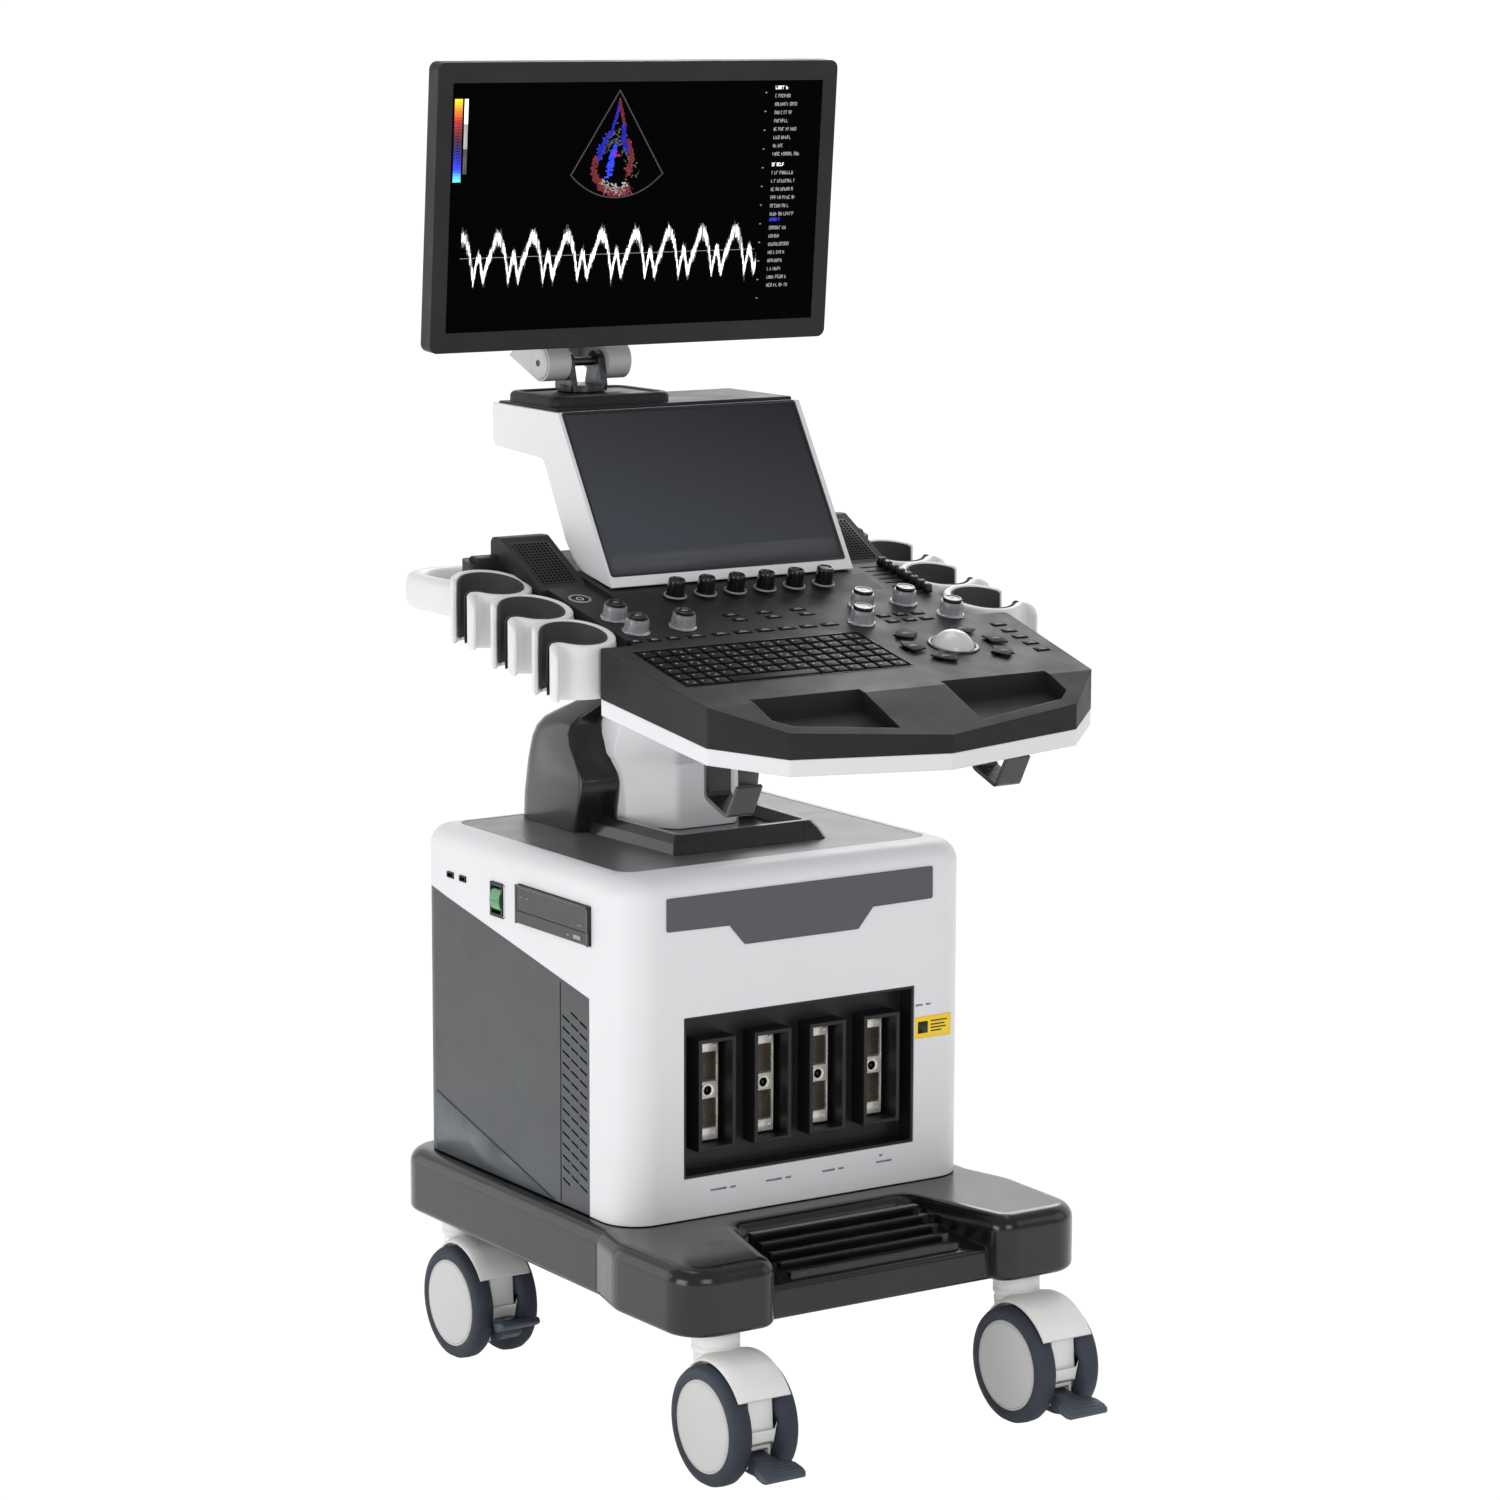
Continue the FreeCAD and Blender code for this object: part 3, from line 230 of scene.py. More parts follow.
MAT = {
    "white": plastic("white_shell", "d8d8db", 0.42, 1100, 0.03, 0.012, 0.0),
    "holder": plastic("holder_white", "d6d6d8", 0.38, 1100, 0.03, 0.012, 0.0),
    "base": plastic("base_black", "0b0b0d", 0.22, 700, 0.04, 0.1, 0.04, 0.4, 0.001, 0.28),
    "deck": plastic("deck_black", "1c1a1d", 0.5, 1600, 0.08, 0.06, 0.05, 0.0, 0.0007, 0.24),
    "gloss": plastic("gloss_black", "0e0e10", 0.24, 500, 0.04, 0.1, 0.06, 0.3, 0.001, 0.4),
    "top": plastic("top_panel", "515153", 0.32, 900, 0.08, 0.08, 0.1, 0.0, 0.0008, 0.5),
    "badge": plastic("badge_grey", "4d4c53", 0.45, 1400, 0.06, 0.04, 0.0, 0.0, 0.0008, 0.4),
    "bay": plastic("bay_black", "121214", 0.4, 900, 0.08, 0.08, 0.1, 0.0, 0.0008, 0.35),
    "key": plastic("key_black", "060608", 0.5, 1800, 0.08, 0.06, 0.1, 0.0, 0.0005, 0.1),
    "legend": plastic("legend_white", "dcdcde", 0.6, 1800, 0.02, 0.03, 0.0),
    "knob": plastic("knob_black", "060607", 0.2, 900, 0.03, 0.1, 0.05, 0.3, 0.0008, 0.4),
    "ring": plastic("ring_grey", "8f9092", 0.4, 1200, 0.04, 0.05, 0.2),
    "ball": plastic("ball_grey", "c2c3c4", 0.22, 900, 0.02, 0.04, 0.0, 0.3),
    "monitor": plastic("monitor_grey", "211f24", 0.5, 1700, 0.1, 0.05, 0.05, 0.0, 0.0008, 0.25),
    "arm": plastic("arm_grey", "b4b5b4", 0.42, 1000, 0.04, 0.03, 0.1),
    "caster": plastic("caster_grey", "e4e4e2", 0.5, 1200, 0.08, 0.04, 0.25),
    "cap": plastic("cap_white", "bfbfbd", 0.45, 1200, 0.05, 0.03, 0.1),
    "tread": plastic("tread_blue", "2f343f", 0.62, 260, 0.35, 0.3, 0.6, 0.0, 0.0012, 0.3),
    "pedal": plastic("pedal_blue", "3b424e", 0.5, 900, 0.1, 0.12, 0.4),
    "liner": plastic("liner_rubber", "3a383b", 0.7, 900, 0.2, 0.1, 0.05, 0.0, 0.0008, 0.25),
    "facet": plastic("panel_facet", "4a4f55", 0.34, 900, 0.06, 0.08, 0.05),
    "green": plastic("rocker_green", "127a3a", 0.2, 700, 0.03, 0.15, 0.1, 0.5),
    "yellow": plastic("label_yellow", "f0ca12", 0.45, 1200, 0.02, 0.03, 0.0),
    "print": plastic("print_black", "1c1a10", 0.5, 1200, 0.02, 0.03, 0.0),
    "faint": plastic("print_grey", "8d9095", 0.5, 1200, 0.02, 0.03, 0.0),
    "nickel": metal("nickel", "ece8de", 0.3, 500.0, 0.05, 0.4),
    "hole": plastic("hole_black", "020203", 0.8, 900, 0.03, 0.05, 0.0, 0.0, 0.0004, 0.05),
    "contact": metal("contact_grid", "6b6355", 0.45, 1500, 0.3, 0.3),
    "steel": metal("yoke_steel", "55585b", 0.34),
    "frame": plastic("frame_paint", "202123", 0.5, 600, 0.15, 0.1, 0.3),
    "module": metal("folded_sheet", "9a9c9e", 0.42, 200, 0.1),
    "clear": clear("clear_acrylic", "e9ebee"),
    "touch": glass("touch_glass", "222328", "43464d", 0.9, 1.12, 0.3),
    "touch_low": glass("touch_glass_low", "3e3e42", "4c4d51", 0.9, 1.1, 0.4),
    "screen": glass("screen_glass", "000000", "000000", 0.9, 1.4, 0.35, 0.02),
    "panel": slate("side_panel_slate"),
}


def dress(node, material):
    """Give a CAD node its material."""
    materials = NODES[node].data.materials
    materials.clear()
    materials.append(MAT[material])


FINISH = {
    "base_cover": "base", "cabinet_shell": "white", "side_panels": "panel", "rear_panel": "panel",
    "top_panel": "top", "badge_plate": "badge", "probe_bay": "bay", "probe_sockets": "nickel",
    "optical_drive": "gloss", "drive_tray": "gloss", "side_sockets": "bay", "power_rocker": "green",
    "electronics": "module", "chassis_frame": "frame", "pedestal_foot": "base", "pedestal_fairing": "base",
    "pedestal_column": "white", "console_upper": "deck", "console_lower": "white", "probe_holders": "holder",
    "touch_housing": "white", "touch_panel": "touch", "arm_base": "deck", "arm_yoke": "steel",
    "lower_arm": "arm", "upper_arm": "arm", "monitor_shell": "monitor", "monitor_screen": "screen",
    "keyboard_keys": "key", "panel_keys": "key", "trackball": "ball", "trackball_cup": "gloss",
    "tgc_sliders": "knob", "rear_handle": "white", "cable_hooks": "gloss",
}
for node in NODES:
    if node.startswith("caster"):
        FINISH[node] = {"housing": "caster", "wheels": "tread", "pedal": "pedal"}[node.split("_")[-1]]
    if node.startswith("menu_knob"):
        FINISH[node] = "knob"
    if node.startswith("encoder"):
        FINISH[node] = "clear"
    dress(node, FINISH[node])


# ---------------------------------------------------------------- mesh helpers
ACROSS = Vector((1, 0, 0))
MM = 0.001
SIDEWAYS = Matrix(((0, 0, 1, 0), (1, 0, 0, 0), (0, 1, 0, 0), (0, 0, 0, 1)))


def mm(rows):
    """Rows of millimetres as the scene's metres."""
    return [[MM * value for value in row] for row in rows]


def basis(along, up, origin=(0, 0, 0)):
    """A frame whose X is the object's, with the given Y, Z and origin."""
    return Matrix.Translation(origin) @ Matrix((ACROSS, along, up)).transposed().to_4x4()


def turned(point, angle, axis):
    """A frame at a point, turned about one axis."""
    return Matrix.Translation(point) @ Matrix.Rotation(angle, 4, axis)


def solid(name, bm, material, body="root", place=Matrix(), sharp=40, instead=None):
    """Finish a bmesh as a piece that rides on a body, and that may stand in for a CAD node."""
    bmesh.ops.remove_doubles(bm, verts=bm.verts, dist=1e-6)
    bmesh.ops.recalc_face_normals(bm, faces=bm.faces)
    bm.transform(place)
    limit = math.radians(sharp)
    for edge in bm.edges:
        edge.smooth = len(edge.link_faces) == 2 and edge.calc_face_angle(0) < limit
    mesh = bpy.data.meshes.new(name)
    bm.to_mesh(mesh)
    bm.free()
    for polygon in mesh.polygons:
        polygon.use_smooth = True
    mesh.materials.append(MAT[material])
    made = bpy.data.objects.new(name, mesh)
    bpy.context.collection.objects.link(made)
    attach(made, body)
    if instead:
        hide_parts(instead)


def add_box(bm, first, last, bevel=0.0, segments=2):
    """A box between two opposite corners, with rounded edges if a bevel is given."""
    made = bmesh.ops.create_cube(bm, size=1.0)["verts"]
    for vert in made:
        for axis in range(3):
            pick = min if vert.co[axis] < 0 else max
            vert.co[axis] = pick(first[axis], last[axis])
    if bevel:
        edges = {edge for vert in made for edge in vert.link_edges}
        bmesh.ops.bevel(bm, geom=list(edges), offset=bevel, segments=segments, affect="EDGES", profile=0.5)


def add_block(bm, centre, size, bevel=0.0):
    """A box of a given size round its centre."""
    add_box(bm, [c - s / 2 for c, s in zip(centre, size)], [c + s / 2 for c, s in zip(centre, size)], bevel)


def boxes(name, material, corners, bevel=0.0, body="root", place=Matrix()):
    """One piece made of boxes that share a bevel."""
    bm = bmesh.new()
    for first, last in corners:
        add_box(bm, first, last, bevel)
    solid(name, bm, material, body, place)


def add_lathe(bm, profile, steps=48, place=Matrix(), flute=None):
    """A solid of revolution from (radius, height) points in millimetres; a flute scales the radius."""
    rings = []
    for radius, height in profile:
        ring = []
        for step in range(steps if radius else 1):
            angle = 2 * math.pi * step / steps
            reach = radius * (flute(angle, height) if flute else 1.0)
            point = Vector((reach * math.cos(angle), reach * math.sin(angle), height)) * MM
            ring.append(bm.verts.new(place @ point))
        rings.append(ring)
    for first, second in zip(rings, rings[1:]):
        for step in range(steps):
            after = (step + 1) % steps
            if len(first) == 1:
                bm.faces.new((first[0], second[step], second[after]))
            elif len(second) == 1:
                bm.faces.new((first[step], first[after], second[0]))
            else:
                bm.faces.new((first[step], first[after], second[after], second[step]))


def lathe(name, profile, material, body, place, steps=48, flute=None, instead=None):
    """A solid of revolution as a piece of its own."""
    bm = bmesh.new()
    add_lathe(bm, profile, steps, flute=flute)
    solid(name, bm, material, body, place, 35, instead)


def add_prism(bm, outline, low, high, bevel=0.0, segments=2):
    """An outline (x, y) raised from low to high, rounded over round its top."""
    base = bm.faces.new([bm.verts.new((x, y, low)) for x, y in outline])
    raised = bmesh.ops.extrude_face_region(bm, geom=[base])["geom"]
    top = {item for item in raised if isinstance(item, bmesh.types.BMVert)}
    for vert in top:
        vert.co.z = high
    if bevel:
        edges = {edge for vert in top for edge in vert.link_edges if set(edge.verts) <= top}
        bmesh.ops.bevel(bm, geom=list(edges), offset=bevel, segments=segments, affect="EDGES", profile=0.5)


def round_outline(points, steps=5):
    """Points (x, y, radius) to an outline with its corners rounded."""
    out = []
    for number, (x, y, radius) in enumerate(points):
        here = Vector((x, y))
        inward = (Vector(points[number - 1][:2]) - here).normalized()
        outward = (Vector(points[(number + 1) % len(points)][:2]) - here).normalized()
        half = inward.angle(outward) / 2
        reach = radius / math.tan(half)
        centre = here + (inward + outward).normalized() * (radius / math.sin(half))
        start = math.atan2(*(here + inward * reach - centre).yx)
        sweep = math.atan2(*(here + outward * reach - centre).yx) - start
        sweep = (sweep + math.pi) % (2 * math.pi) - math.pi
        for step in range(steps + 1):
            angle = start + sweep * step / steps
            out.append((centre.x + radius * math.cos(angle), centre.y + radius * math.sin(angle)))
    return out


def skin(bm, rings, closed_ends=True):
    """Faces between rings of points with equal counts."""
    made = [[bm.verts.new(point) for point in ring] for ring in rings]
    count = len(made[0])
    for first, second in zip(made, made[1:]):
        for step in range(count):
            after = (step + 1) % count
            bm.faces.new((first[step], first[after], second[after], second[step]))
    if closed_ends:
        bm.faces.new(list(reversed(made[0])))
        bm.faces.new(made[-1])


def corners_of(node):
    """The low and high corners of a CAD node."""
    low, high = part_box(node)
    return Vector(low), Vector(high)


def pin(joint):
    """The place of a joint."""
    return Vector(JOINT[joint]["pos_m"])


DECK_UP = Vector(JOINT["menu_turn_1"]["axis"]).normalized()
DECK_ALONG = DECK_UP.cross(ACROSS).normalized()
DECK_TURN = basis(DECK_ALONG, DECK_UP)


def on_deck(point):
    """The deck's own frame, moved to a point."""
    return Matrix.Translation(point) @ DECK_TURN


def islands(node):
    """The low corner, high corner and middle of each separate solid of a CAD node, in the deck's frame."""
    bm = bmesh.new()
    bm.from_mesh(NODES[node].data)
    bmesh.ops.remove_doubles(bm, verts=bm.verts, dist=1e-5)
    bm.transform(DECK_TURN.inverted())
    seen, groups = set(), []
    for vert in bm.verts:
        if vert in seen:
            continue
        stack, found = [vert], []
        seen.add(vert)
        while stack:
            item = stack.pop()
            found.append(item.co.copy())
            new = {edge.other_vert(item) for edge in item.link_edges} - seen
            seen |= new
            stack += new
        low, high = (Vector([pick(axis) for axis in zip(*found)]) for pick in (min, max))
        groups.append((low, high, (low + high) / 2))
    bm.free()
    return groups


# ---------------------------------------------------------------- keys
def add_keycap(bm, low, high, taper=0.0007):
    """A keycap: four-sided, narrower at the top, with rounded shoulders."""
    start = len(bm.verts)
    add_box(bm, low, high, 0.0006)
    bm.verts.ensure_lookup_table()
    for vert in bm.verts[start:]:
        rise = (vert.co.z - low[2]) / (high[2] - low[2])
        for axis in range(2):
            side = 1 if vert.co[axis] > (low[axis] + high[axis]) / 2 else -1
            vert.co[axis] -= side * taper * rise


def add_mark(bm, x, y, z, wide, tall):
    """One thin raised stroke of a key legend."""
    add_box(bm, (x - wide / 2, y - tall / 2, z - 0.0002), (x + wide / 2, y + tall / 2, z + 0.00006))


def add_petal(bm, ball, x, y, top):
    """A broad key bent round the trackball, standing just clear of the deck; returns its top."""
    reach, turn = math.hypot(x - ball.x, y - ball.y), math.atan2(y - ball.y, x - ball.x)
    inner, outer, spread = max(0.0345, reach - 0.0105), reach + 0.0095, 0.013 / reach
    outline = [(ball.x + r * math.cos(a), ball.y + r * math.sin(a), 0.0032)
               for r, a in ((inner, turn - spread), (outer, turn - spread), (outer + 0.0012, turn),
                            (outer, turn + spread), (inner, turn + spread), (inner + 0.0004, turn))]
    add_prism(bm, round_outline(outline, 4), top + 0.0011, top + 0.0024, 0.0005)
    return top + 0.0024


def keys(node, body):
    """Rounded keycaps in place of a CAD node's blocks, with plain strokes for legends."""
    caps, legend = bmesh.new(), bmesh.new()
    ball = DECK_TURN.inverted() @ pin("ball_roll")
    cap_tall, key_wide, square = 0.0036, 0.03, 0.001
    for number, (low, high, (x, y, _)) in enumerate(islands(node)):
        low.z, z = high.z - cap_tall, high.z
        wide = high.x - low.x
        if body == "keyboard":
            add_keycap(caps, low, high)
            if wide < key_wide:
                add_mark(legend, x - 0.003, y + 0.002, z, 0.002 + 0.0012 * random.random(), 0.0018)
                if number % 3 == 0:
                    add_mark(legend, x + 0.0028, y - 0.002, z, 0.002, 0.0016)
        elif abs(wide - (high.y - low.y)) < square:
            power_button(DECK_TURN @ Vector((x, y, low.z)))
        else:
            if 0.03 < math.hypot(x - ball.x, y - ball.y) < 0.062 and wide > 0.022:
                z = add_petal(caps, ball, x, y, z)
            else:
                add_keycap(caps, low, high)
            long = min(wide * 0.55, 0.011)
            add_mark(legend, x, y + 0.0012, z, long * 0.6, 0.001)
            add_mark(legend, x, y - 0.0012, z, long, 0.001)
    solid(node.replace("_keys", "_caps"), caps, "key", body, DECK_TURN, 60, node)
    solid(node.replace("_keys", "_legends"), legend, "legend", body, DECK_TURN)


def power_button(foot):
    """Round power button: a dished cap in a raised ring with a plain ring symbol."""
    place = on_deck(foot)
    lathe("power_cap", [(0, 0), (8.6, 0), (8.6, 3), (8, 3.6), (6, 3.1), (0, 2.8)],
          "key", "panel_buttons", place)
    lathe("power_symbol", [(3.4, 2.4), (4.4, 2.4), (4.4, 3.3), (3.4, 3.3), (3.4, 2.4)],
          "legend", "panel_buttons", place)
    lathe("power_rim", [(9.8, 1.5), (12.2, 1.5), (12.2, 3.4), (11.4, 3.8), (10.2, 3.8), (9.8, 3.4),
                        (9.8, 1.5)], "ring", "root", place)


keys("keyboard_keys", "keyboard")
keys("panel_keys", "panel_buttons")


# ---------------------------------------------------------------- knobs
def fluted(count, depth, low, high):
    """A function that ripples a lathe's radius between two heights."""
    return lambda angle, height: 1.0 + (depth * math.cos(count * angle) if low < height < high else 0)


def encoder_knob(number):
    """A clear fluted skirt over a black cap with a pointer stroke."""
    name, body = "encoder_%d" % number, "mode_dial_%d" % number
    place = on_deck(pin("mode_turn_%d" % number) - DECK_UP * 0.008)
    lathe(name + "_skirt", [ (9.8, 0.6), (14.8, 0.6), (15, 1.4), (14.6, 2.2), (13, 2.8), (12.7, 4.8),
                            (12.4, 10), (12.1, 14), (11.6, 15.2), (10, 15.5), (9.8, 15), (9.8, 0.6)],
        "clear", body, place, 72, fluted(18, 0.018, 2.5, 14.8), name)
    lathe(name + "_core", [(0, 1), (9.4, 1), (9, 15), (0, 15)], "ring", body, place)
    lathe(name + "_cap", [ (0, 15), (10.2, 15.1), (10.6, 15.8), (10.4, 18), (9.5, 19), (8.2, 19),
                          (7.4, 18.4), (0, 18.2)], "knob", body, place, 56)
    bm = bmesh.new()
    add_mark(bm, 0.0, 0.0, 0.0183, 0.0075, 0.001)
    add_mark(bm, 0.0, 0.0022, 0.0183, 0.004, 0.0007)
    solid(name + "_mark", bm, "legend", body, place)


def menu_knob(number):
    """A glossy black knob with a dished top, standing in a grey ring."""
    name = "menu_knob_%d" % number
    place = on_deck(pin("menu_turn_%d" % number) - DECK_UP * 0.0046)
    lathe(name + "_cap", [ (0, 0.8), (9.4, 0.8), (9.5, 2), (9.2, 15), (8.9, 17.2), (8, 18.2), (6.8, 18.3),
                          (6, 17.2), (0, 16.8)],
        "knob", "menu_dial_%d" % number, place, 60, fluted(12, 0.012, 3, 16.5), name)
    lathe("menu_ring_%d" % number, [ (10.6, -0.8), (12.4, -0.8), (12.4, 0.6), (11.9, 1), (11, 1),
                                    (10.6, 0.6), (10.6, -0.8)], "ring", "root", place)


for index in range(1, 8):
    encoder_knob(index)
for index in range(1, 7):
    menu_knob(index)


def gain_sliders():
    """Ribbed slider caps with a pale pointer line, one on each stem."""
    caps, marks = bmesh.new(), bmesh.new()
    cap_tall = 0.0092
    for low, high, (x, y, _) in islands("tgc_sliders"):
        add_box(caps, low + Vector((0.0035, 0.0028, 0)), high - Vector((0.0035, 0.0028, 0.004)))
        add_keycap(caps, (low.x, low.y, high.z - cap_tall), high, 0.0012)
        for rib in (-0.0026, 0.0, 0.0026):
            add_box(caps, (x + rib - 0.0005, low.y + 0.0014, high.z - 0.001),
                    (x + rib + 0.0005, high.y - 0.0014, high.z + 0.0004))
        add_mark(marks, x, y, high.z + 0.0004, 0.0007, 0.0042)
    solid("gain_slider_caps", caps, "knob", "gain_sliders", DECK_TURN, 40, "tgc_sliders")
    solid("gain_slider_marks", marks, "legend", "gain_sliders", DECK_TURN)


gain_sliders()


# ---------------------------------------------------------------- probe holders
RIM_SLOPE = DECK_ALONG.z / DECK_ALONG.y


def sweep_wall(bm, path, thick, low, high, middle_y):
    """A wall of rounded section along a plan path of (x, y) points, its rim parallel to the deck."""
    half, count = thick / 2, len(path)
    foot = [(-half, 0.003), (-half + 0.002, 0), (half - 0.002, 0), (half, 0.003)]
    rim = [(half * math.cos(math.radians(a)), half * 0.6 * (math.sin(math.radians(a)) - 1))
           for a in (0, 25, 50, 75, 105, 130, 155, 180)]
    rings = []
    for number, (x, y) in enumerate(path):
        before, left = number, count - 1 - number
        along = Vector(path[min(count - 1, number + 1)]) - Vector(path[max(0, number - 1)])
        side = Vector((along.y, -along.x)).normalized()
        end = min(before, left)
        pinch = (0.35, 0.75, 0.95)[end] if end < 3 else 1.0
        droop = (0.009, 0.0045, 0.0018, 0.0005)[left] if left < 4 else 0.0015 if before == 0 else 0
        top = high + (y - middle_y) * RIM_SLOPE - droop
        section = [(across, low + height) for across, height in foot]
        section += [(across, top + height) for across, height in rim]
        rings.append([(x + side.x * across * pinch, y + side.y * across * pinch, height)
                      for across, height in section])
    skin(bm, rings)


def cup_path(x, y, side, radius, start, end, lip):
    """An arc round a cup's axis that runs on into an outward lip."""
    turns = [math.radians(a) for a in range(start, end, 6)]
    path = [(x + side * radius * math.cos(t), y + radius * math.sin(t)) for t in turns]
    end_x, end_y = path[-1]
    return path + [(end_x + side * dx, end_y + dy) for dx, dy in lip]


# steps sideways and forward from the end of an arc
WALL_LIP = mm(((3, 1.8), (6.2, 2.6), (9.6, 1.8), (12.2, -1), (13.8, -4.8), (14.6, -9), (14.9, -13)))
LINER_LIP = mm(((3.4, 3), (7.2, 5.4), (11.2, 6.2), (15, 5), (17.8, 2)))


def holder_bank(side, word):
    """Three cups on one side: white walls with a flared front lip, dark rubber liners and mounting lugs."""
    walls, liners = bmesh.new(), bmesh.new()
    radius, bore = 0.043, 0.034
    for number in (1, 2, 3):
        x, y, z = MOUNT["probe_cup_%s_%d" % (word, number)]["pos_m"]
        top, low = z + 0.035, z - 0.029
        wall = cup_path(x, y, side, (radius + bore) / 2, 22, 320, WALL_LIP)
        sweep_wall(walls, wall, radius - bore, low, top, y)
        liner = cup_path(x, y, side, bore - 0.0009, 20, 323, LINER_LIP)
        sweep_wall(liners, liner, 0.0026, low + 0.0045, top - 0.0008, y)
        add_block(walls, (side * 0.21745, y, top - 0.027), (0.0061, 0.028, 0.03), 0.002)
    solid("holder_walls_" + word, walls, "holder", sharp=50, instead="probe_holders" if side < 0 else None)
    solid("holder_liners_" + word, liners, "liner", sharp=50)


for side, word in SIDES:
    holder_bank(side, word)


# ---------------------------------------------------------------- casters
# (radius, height) in millimetres; a wheel's heights run outwards from the middle of the pair
DISC = [(6.2, 16.6), (44, 16.6), (45, 19.6), (48.5, 20.6), (48.8, 36.8), (47.8, 39), (46.5, 39.4),
        (45.8, 38.6), (45, 39.5), (30, 40.2), (0, 40.4)]
TREAD = [(47.8, 17), (50, 16), (56, 16.3), (60, 18), (62, 21.5), (62.5, 28), (62, 34.5), (60, 38),
         (56, 39.6), (53, 39.8), (52.2, 39), (50, 39.2), (48.8, 38.6), (47.8, 36), (47.8, 17)]
COLLAR = [(8.2, 119), (18.5, 119), (20.5, 122), (22.2, 127), (24, 129), (25, 130.2), (25, 135),
          (24.4, 135.6), (24.4, 136.2), (25, 136.8), (25, 149), (23.8, 150.8), (8.2, 150.8), (8.2, 119)]
CHEEK = [(0, 14.8), (22, 14.8), (21, 16.4), (0, 16.4)]
WEB = mm([(-44, 22, 5), (-50, 52, 12), (-46, 110, 12), (10, 127.5, 6), (56, 126.5, 6), (52, 102, 12),
          (32, 62, 20), (28, 36, 8), (-26, 22, 4), (-26, 46, 3), (-43.5, 46, 3)])
# height of the axle, and how far the swivel stem stands behind it
AXLE_HIGH, STEM_BACK = 0.0625, 0.035


def scuffed(angle, height):
    """Slight wear across a tread."""
    return 1 - 0.0035 * max(0, math.sin(5 * angle + 0.04 * height) * math.sin(13 * angle + 1.3)) ** 3


def caster_wheels(corner):
    """Two domed wheel covers inside two scuffed treads."""
    low, high = corners_of("caster_%s_wheels" % corner)
    body = "caster_%s_wheel_pair" % corner
    discs, treads = bmesh.new(), bmesh.new()
    for side, _ in SIDES:
        place = turned((low + high) / 2, QUARTER * side, "Y")
        add_lathe(discs, DISC, 96, place)
        add_lathe(treads, TREAD, 96, place, scuffed)
    solid("caster_%s_treads" % corner, treads, "tread", body, instead="caster_%s_wheels" % corner)
    solid("caster_%s_discs" % corner, discs, "cap", body, sharp=30)


def caster_hood(hub):
    """The smooth hood over the gap between the two treads."""
    bm = bmesh.new()
    start, last, step = 44, 146, 6
    rings = []
    for angle in range(start, last + 1, step):
        turn = math.radians(angle)
        sink = 0.0022 * (1 - min(1.0, (angle - 38) / 30, (152 - angle) / 30))
        half = 0.0245 + 0.0065 * math.sin(math.radians(min(90, (angle - start) * 1.1)))
        crown = 0.0705 - sink + (0.002 if 70 < angle < 120 else 0)
        section = [(-half, 0.0652), (-half - 0.0006, 0.0672), (-half + 0.003, crown - 0.0012),
                   (-half * 0.5, crown)]
        section += [(-across, reach) for across, reach in reversed(section)]
        rings.append([(hub.x + across, hub.y + reach * math.cos(turn), hub.z + reach * math.sin(turn))
                      for across, reach in section])
    skin(bm, rings)
    return bm


def caster_web(hub):
    """The upright web between the wheels, with its hub cheeks and the brake's guide."""
    bm = bmesh.new()
    add_prism(bm, round_outline(WEB), -0.0148, 0.0148, 0.0012)
    bm.transform(Matrix.Translation((hub.x, hub.y, 0)) @ SIDEWAYS)
    for side, _ in SIDES:
        add_lathe(bm, CHEEK, 40, turned(hub, QUARTER * side, "Y"))
        add_block(bm, (hub.x + side * 0.0135, hub.y - 0.03475, 0.03675), (0.0026, 0.0185, 0.0225), 0.0006)
    add_block(bm, (hub.x, hub.y - 0.03775, 0.032), (0.0292, 0.0035, 0.0036), 0.0008)
    return bm


PEDAL_ARM = mm([(7, -6, 4), (6, 8, 5), (-28, 5, 2), (-36, -3, 2), (-34, -10, 2), (-22, -12, 3)])
# reach, half width, underside and top
PEDAL_PAD = mm(((-28.5, 16.5, -2, 5.2), (-32, 20.5, -4.5, 5.6), (-40, 24, -6.2, 4.6), (-50, 25, -7.2, 2.4),
                (-56, 24.4, -6.8, 0.2), (-58.6, 23, -5.2, -2.2)))


def pedal(corner):
    """A ribbed foot pad on an arm that reaches back to the pedal pin."""
    lift = math.radians(-28 if "rear" in corner else 0)
    bm = bmesh.new()
    add_prism(bm, round_outline(PEDAL_ARM, 4), -0.0118, 0.0118, 0.001)
    bm.transform(SIDEWAYS)
    rings = []
    for reach, half, low, high in PEDAL_PAD:
        right = [(half - 0.001, low), (half, low + 0.001), (half, high - 0.001), (half - 0.0015, high)]
        left = [(-across, height) for across, height in reversed(right)]
        rings.append([(across, reach, height) for across, height in right + left])
    skin(bm, rings)
    for reach in (-0.036, -0.041, -0.046, -0.051):
        rise = 0.005 - max(0, -reach - 0.038) * 0.26
        add_box(bm, (-0.017, reach - 0.0008, rise - 0.002), (0.017, reach + 0.0008, rise + 0.0007))
    solid("caster_%s_pedal_pad" % corner, bm, "pedal", "caster_%s_brake" % corner,
          turned(pin("caster_%s_brake_tip" % corner), lift, "X"), instead="caster_%s_pedal" % corner)


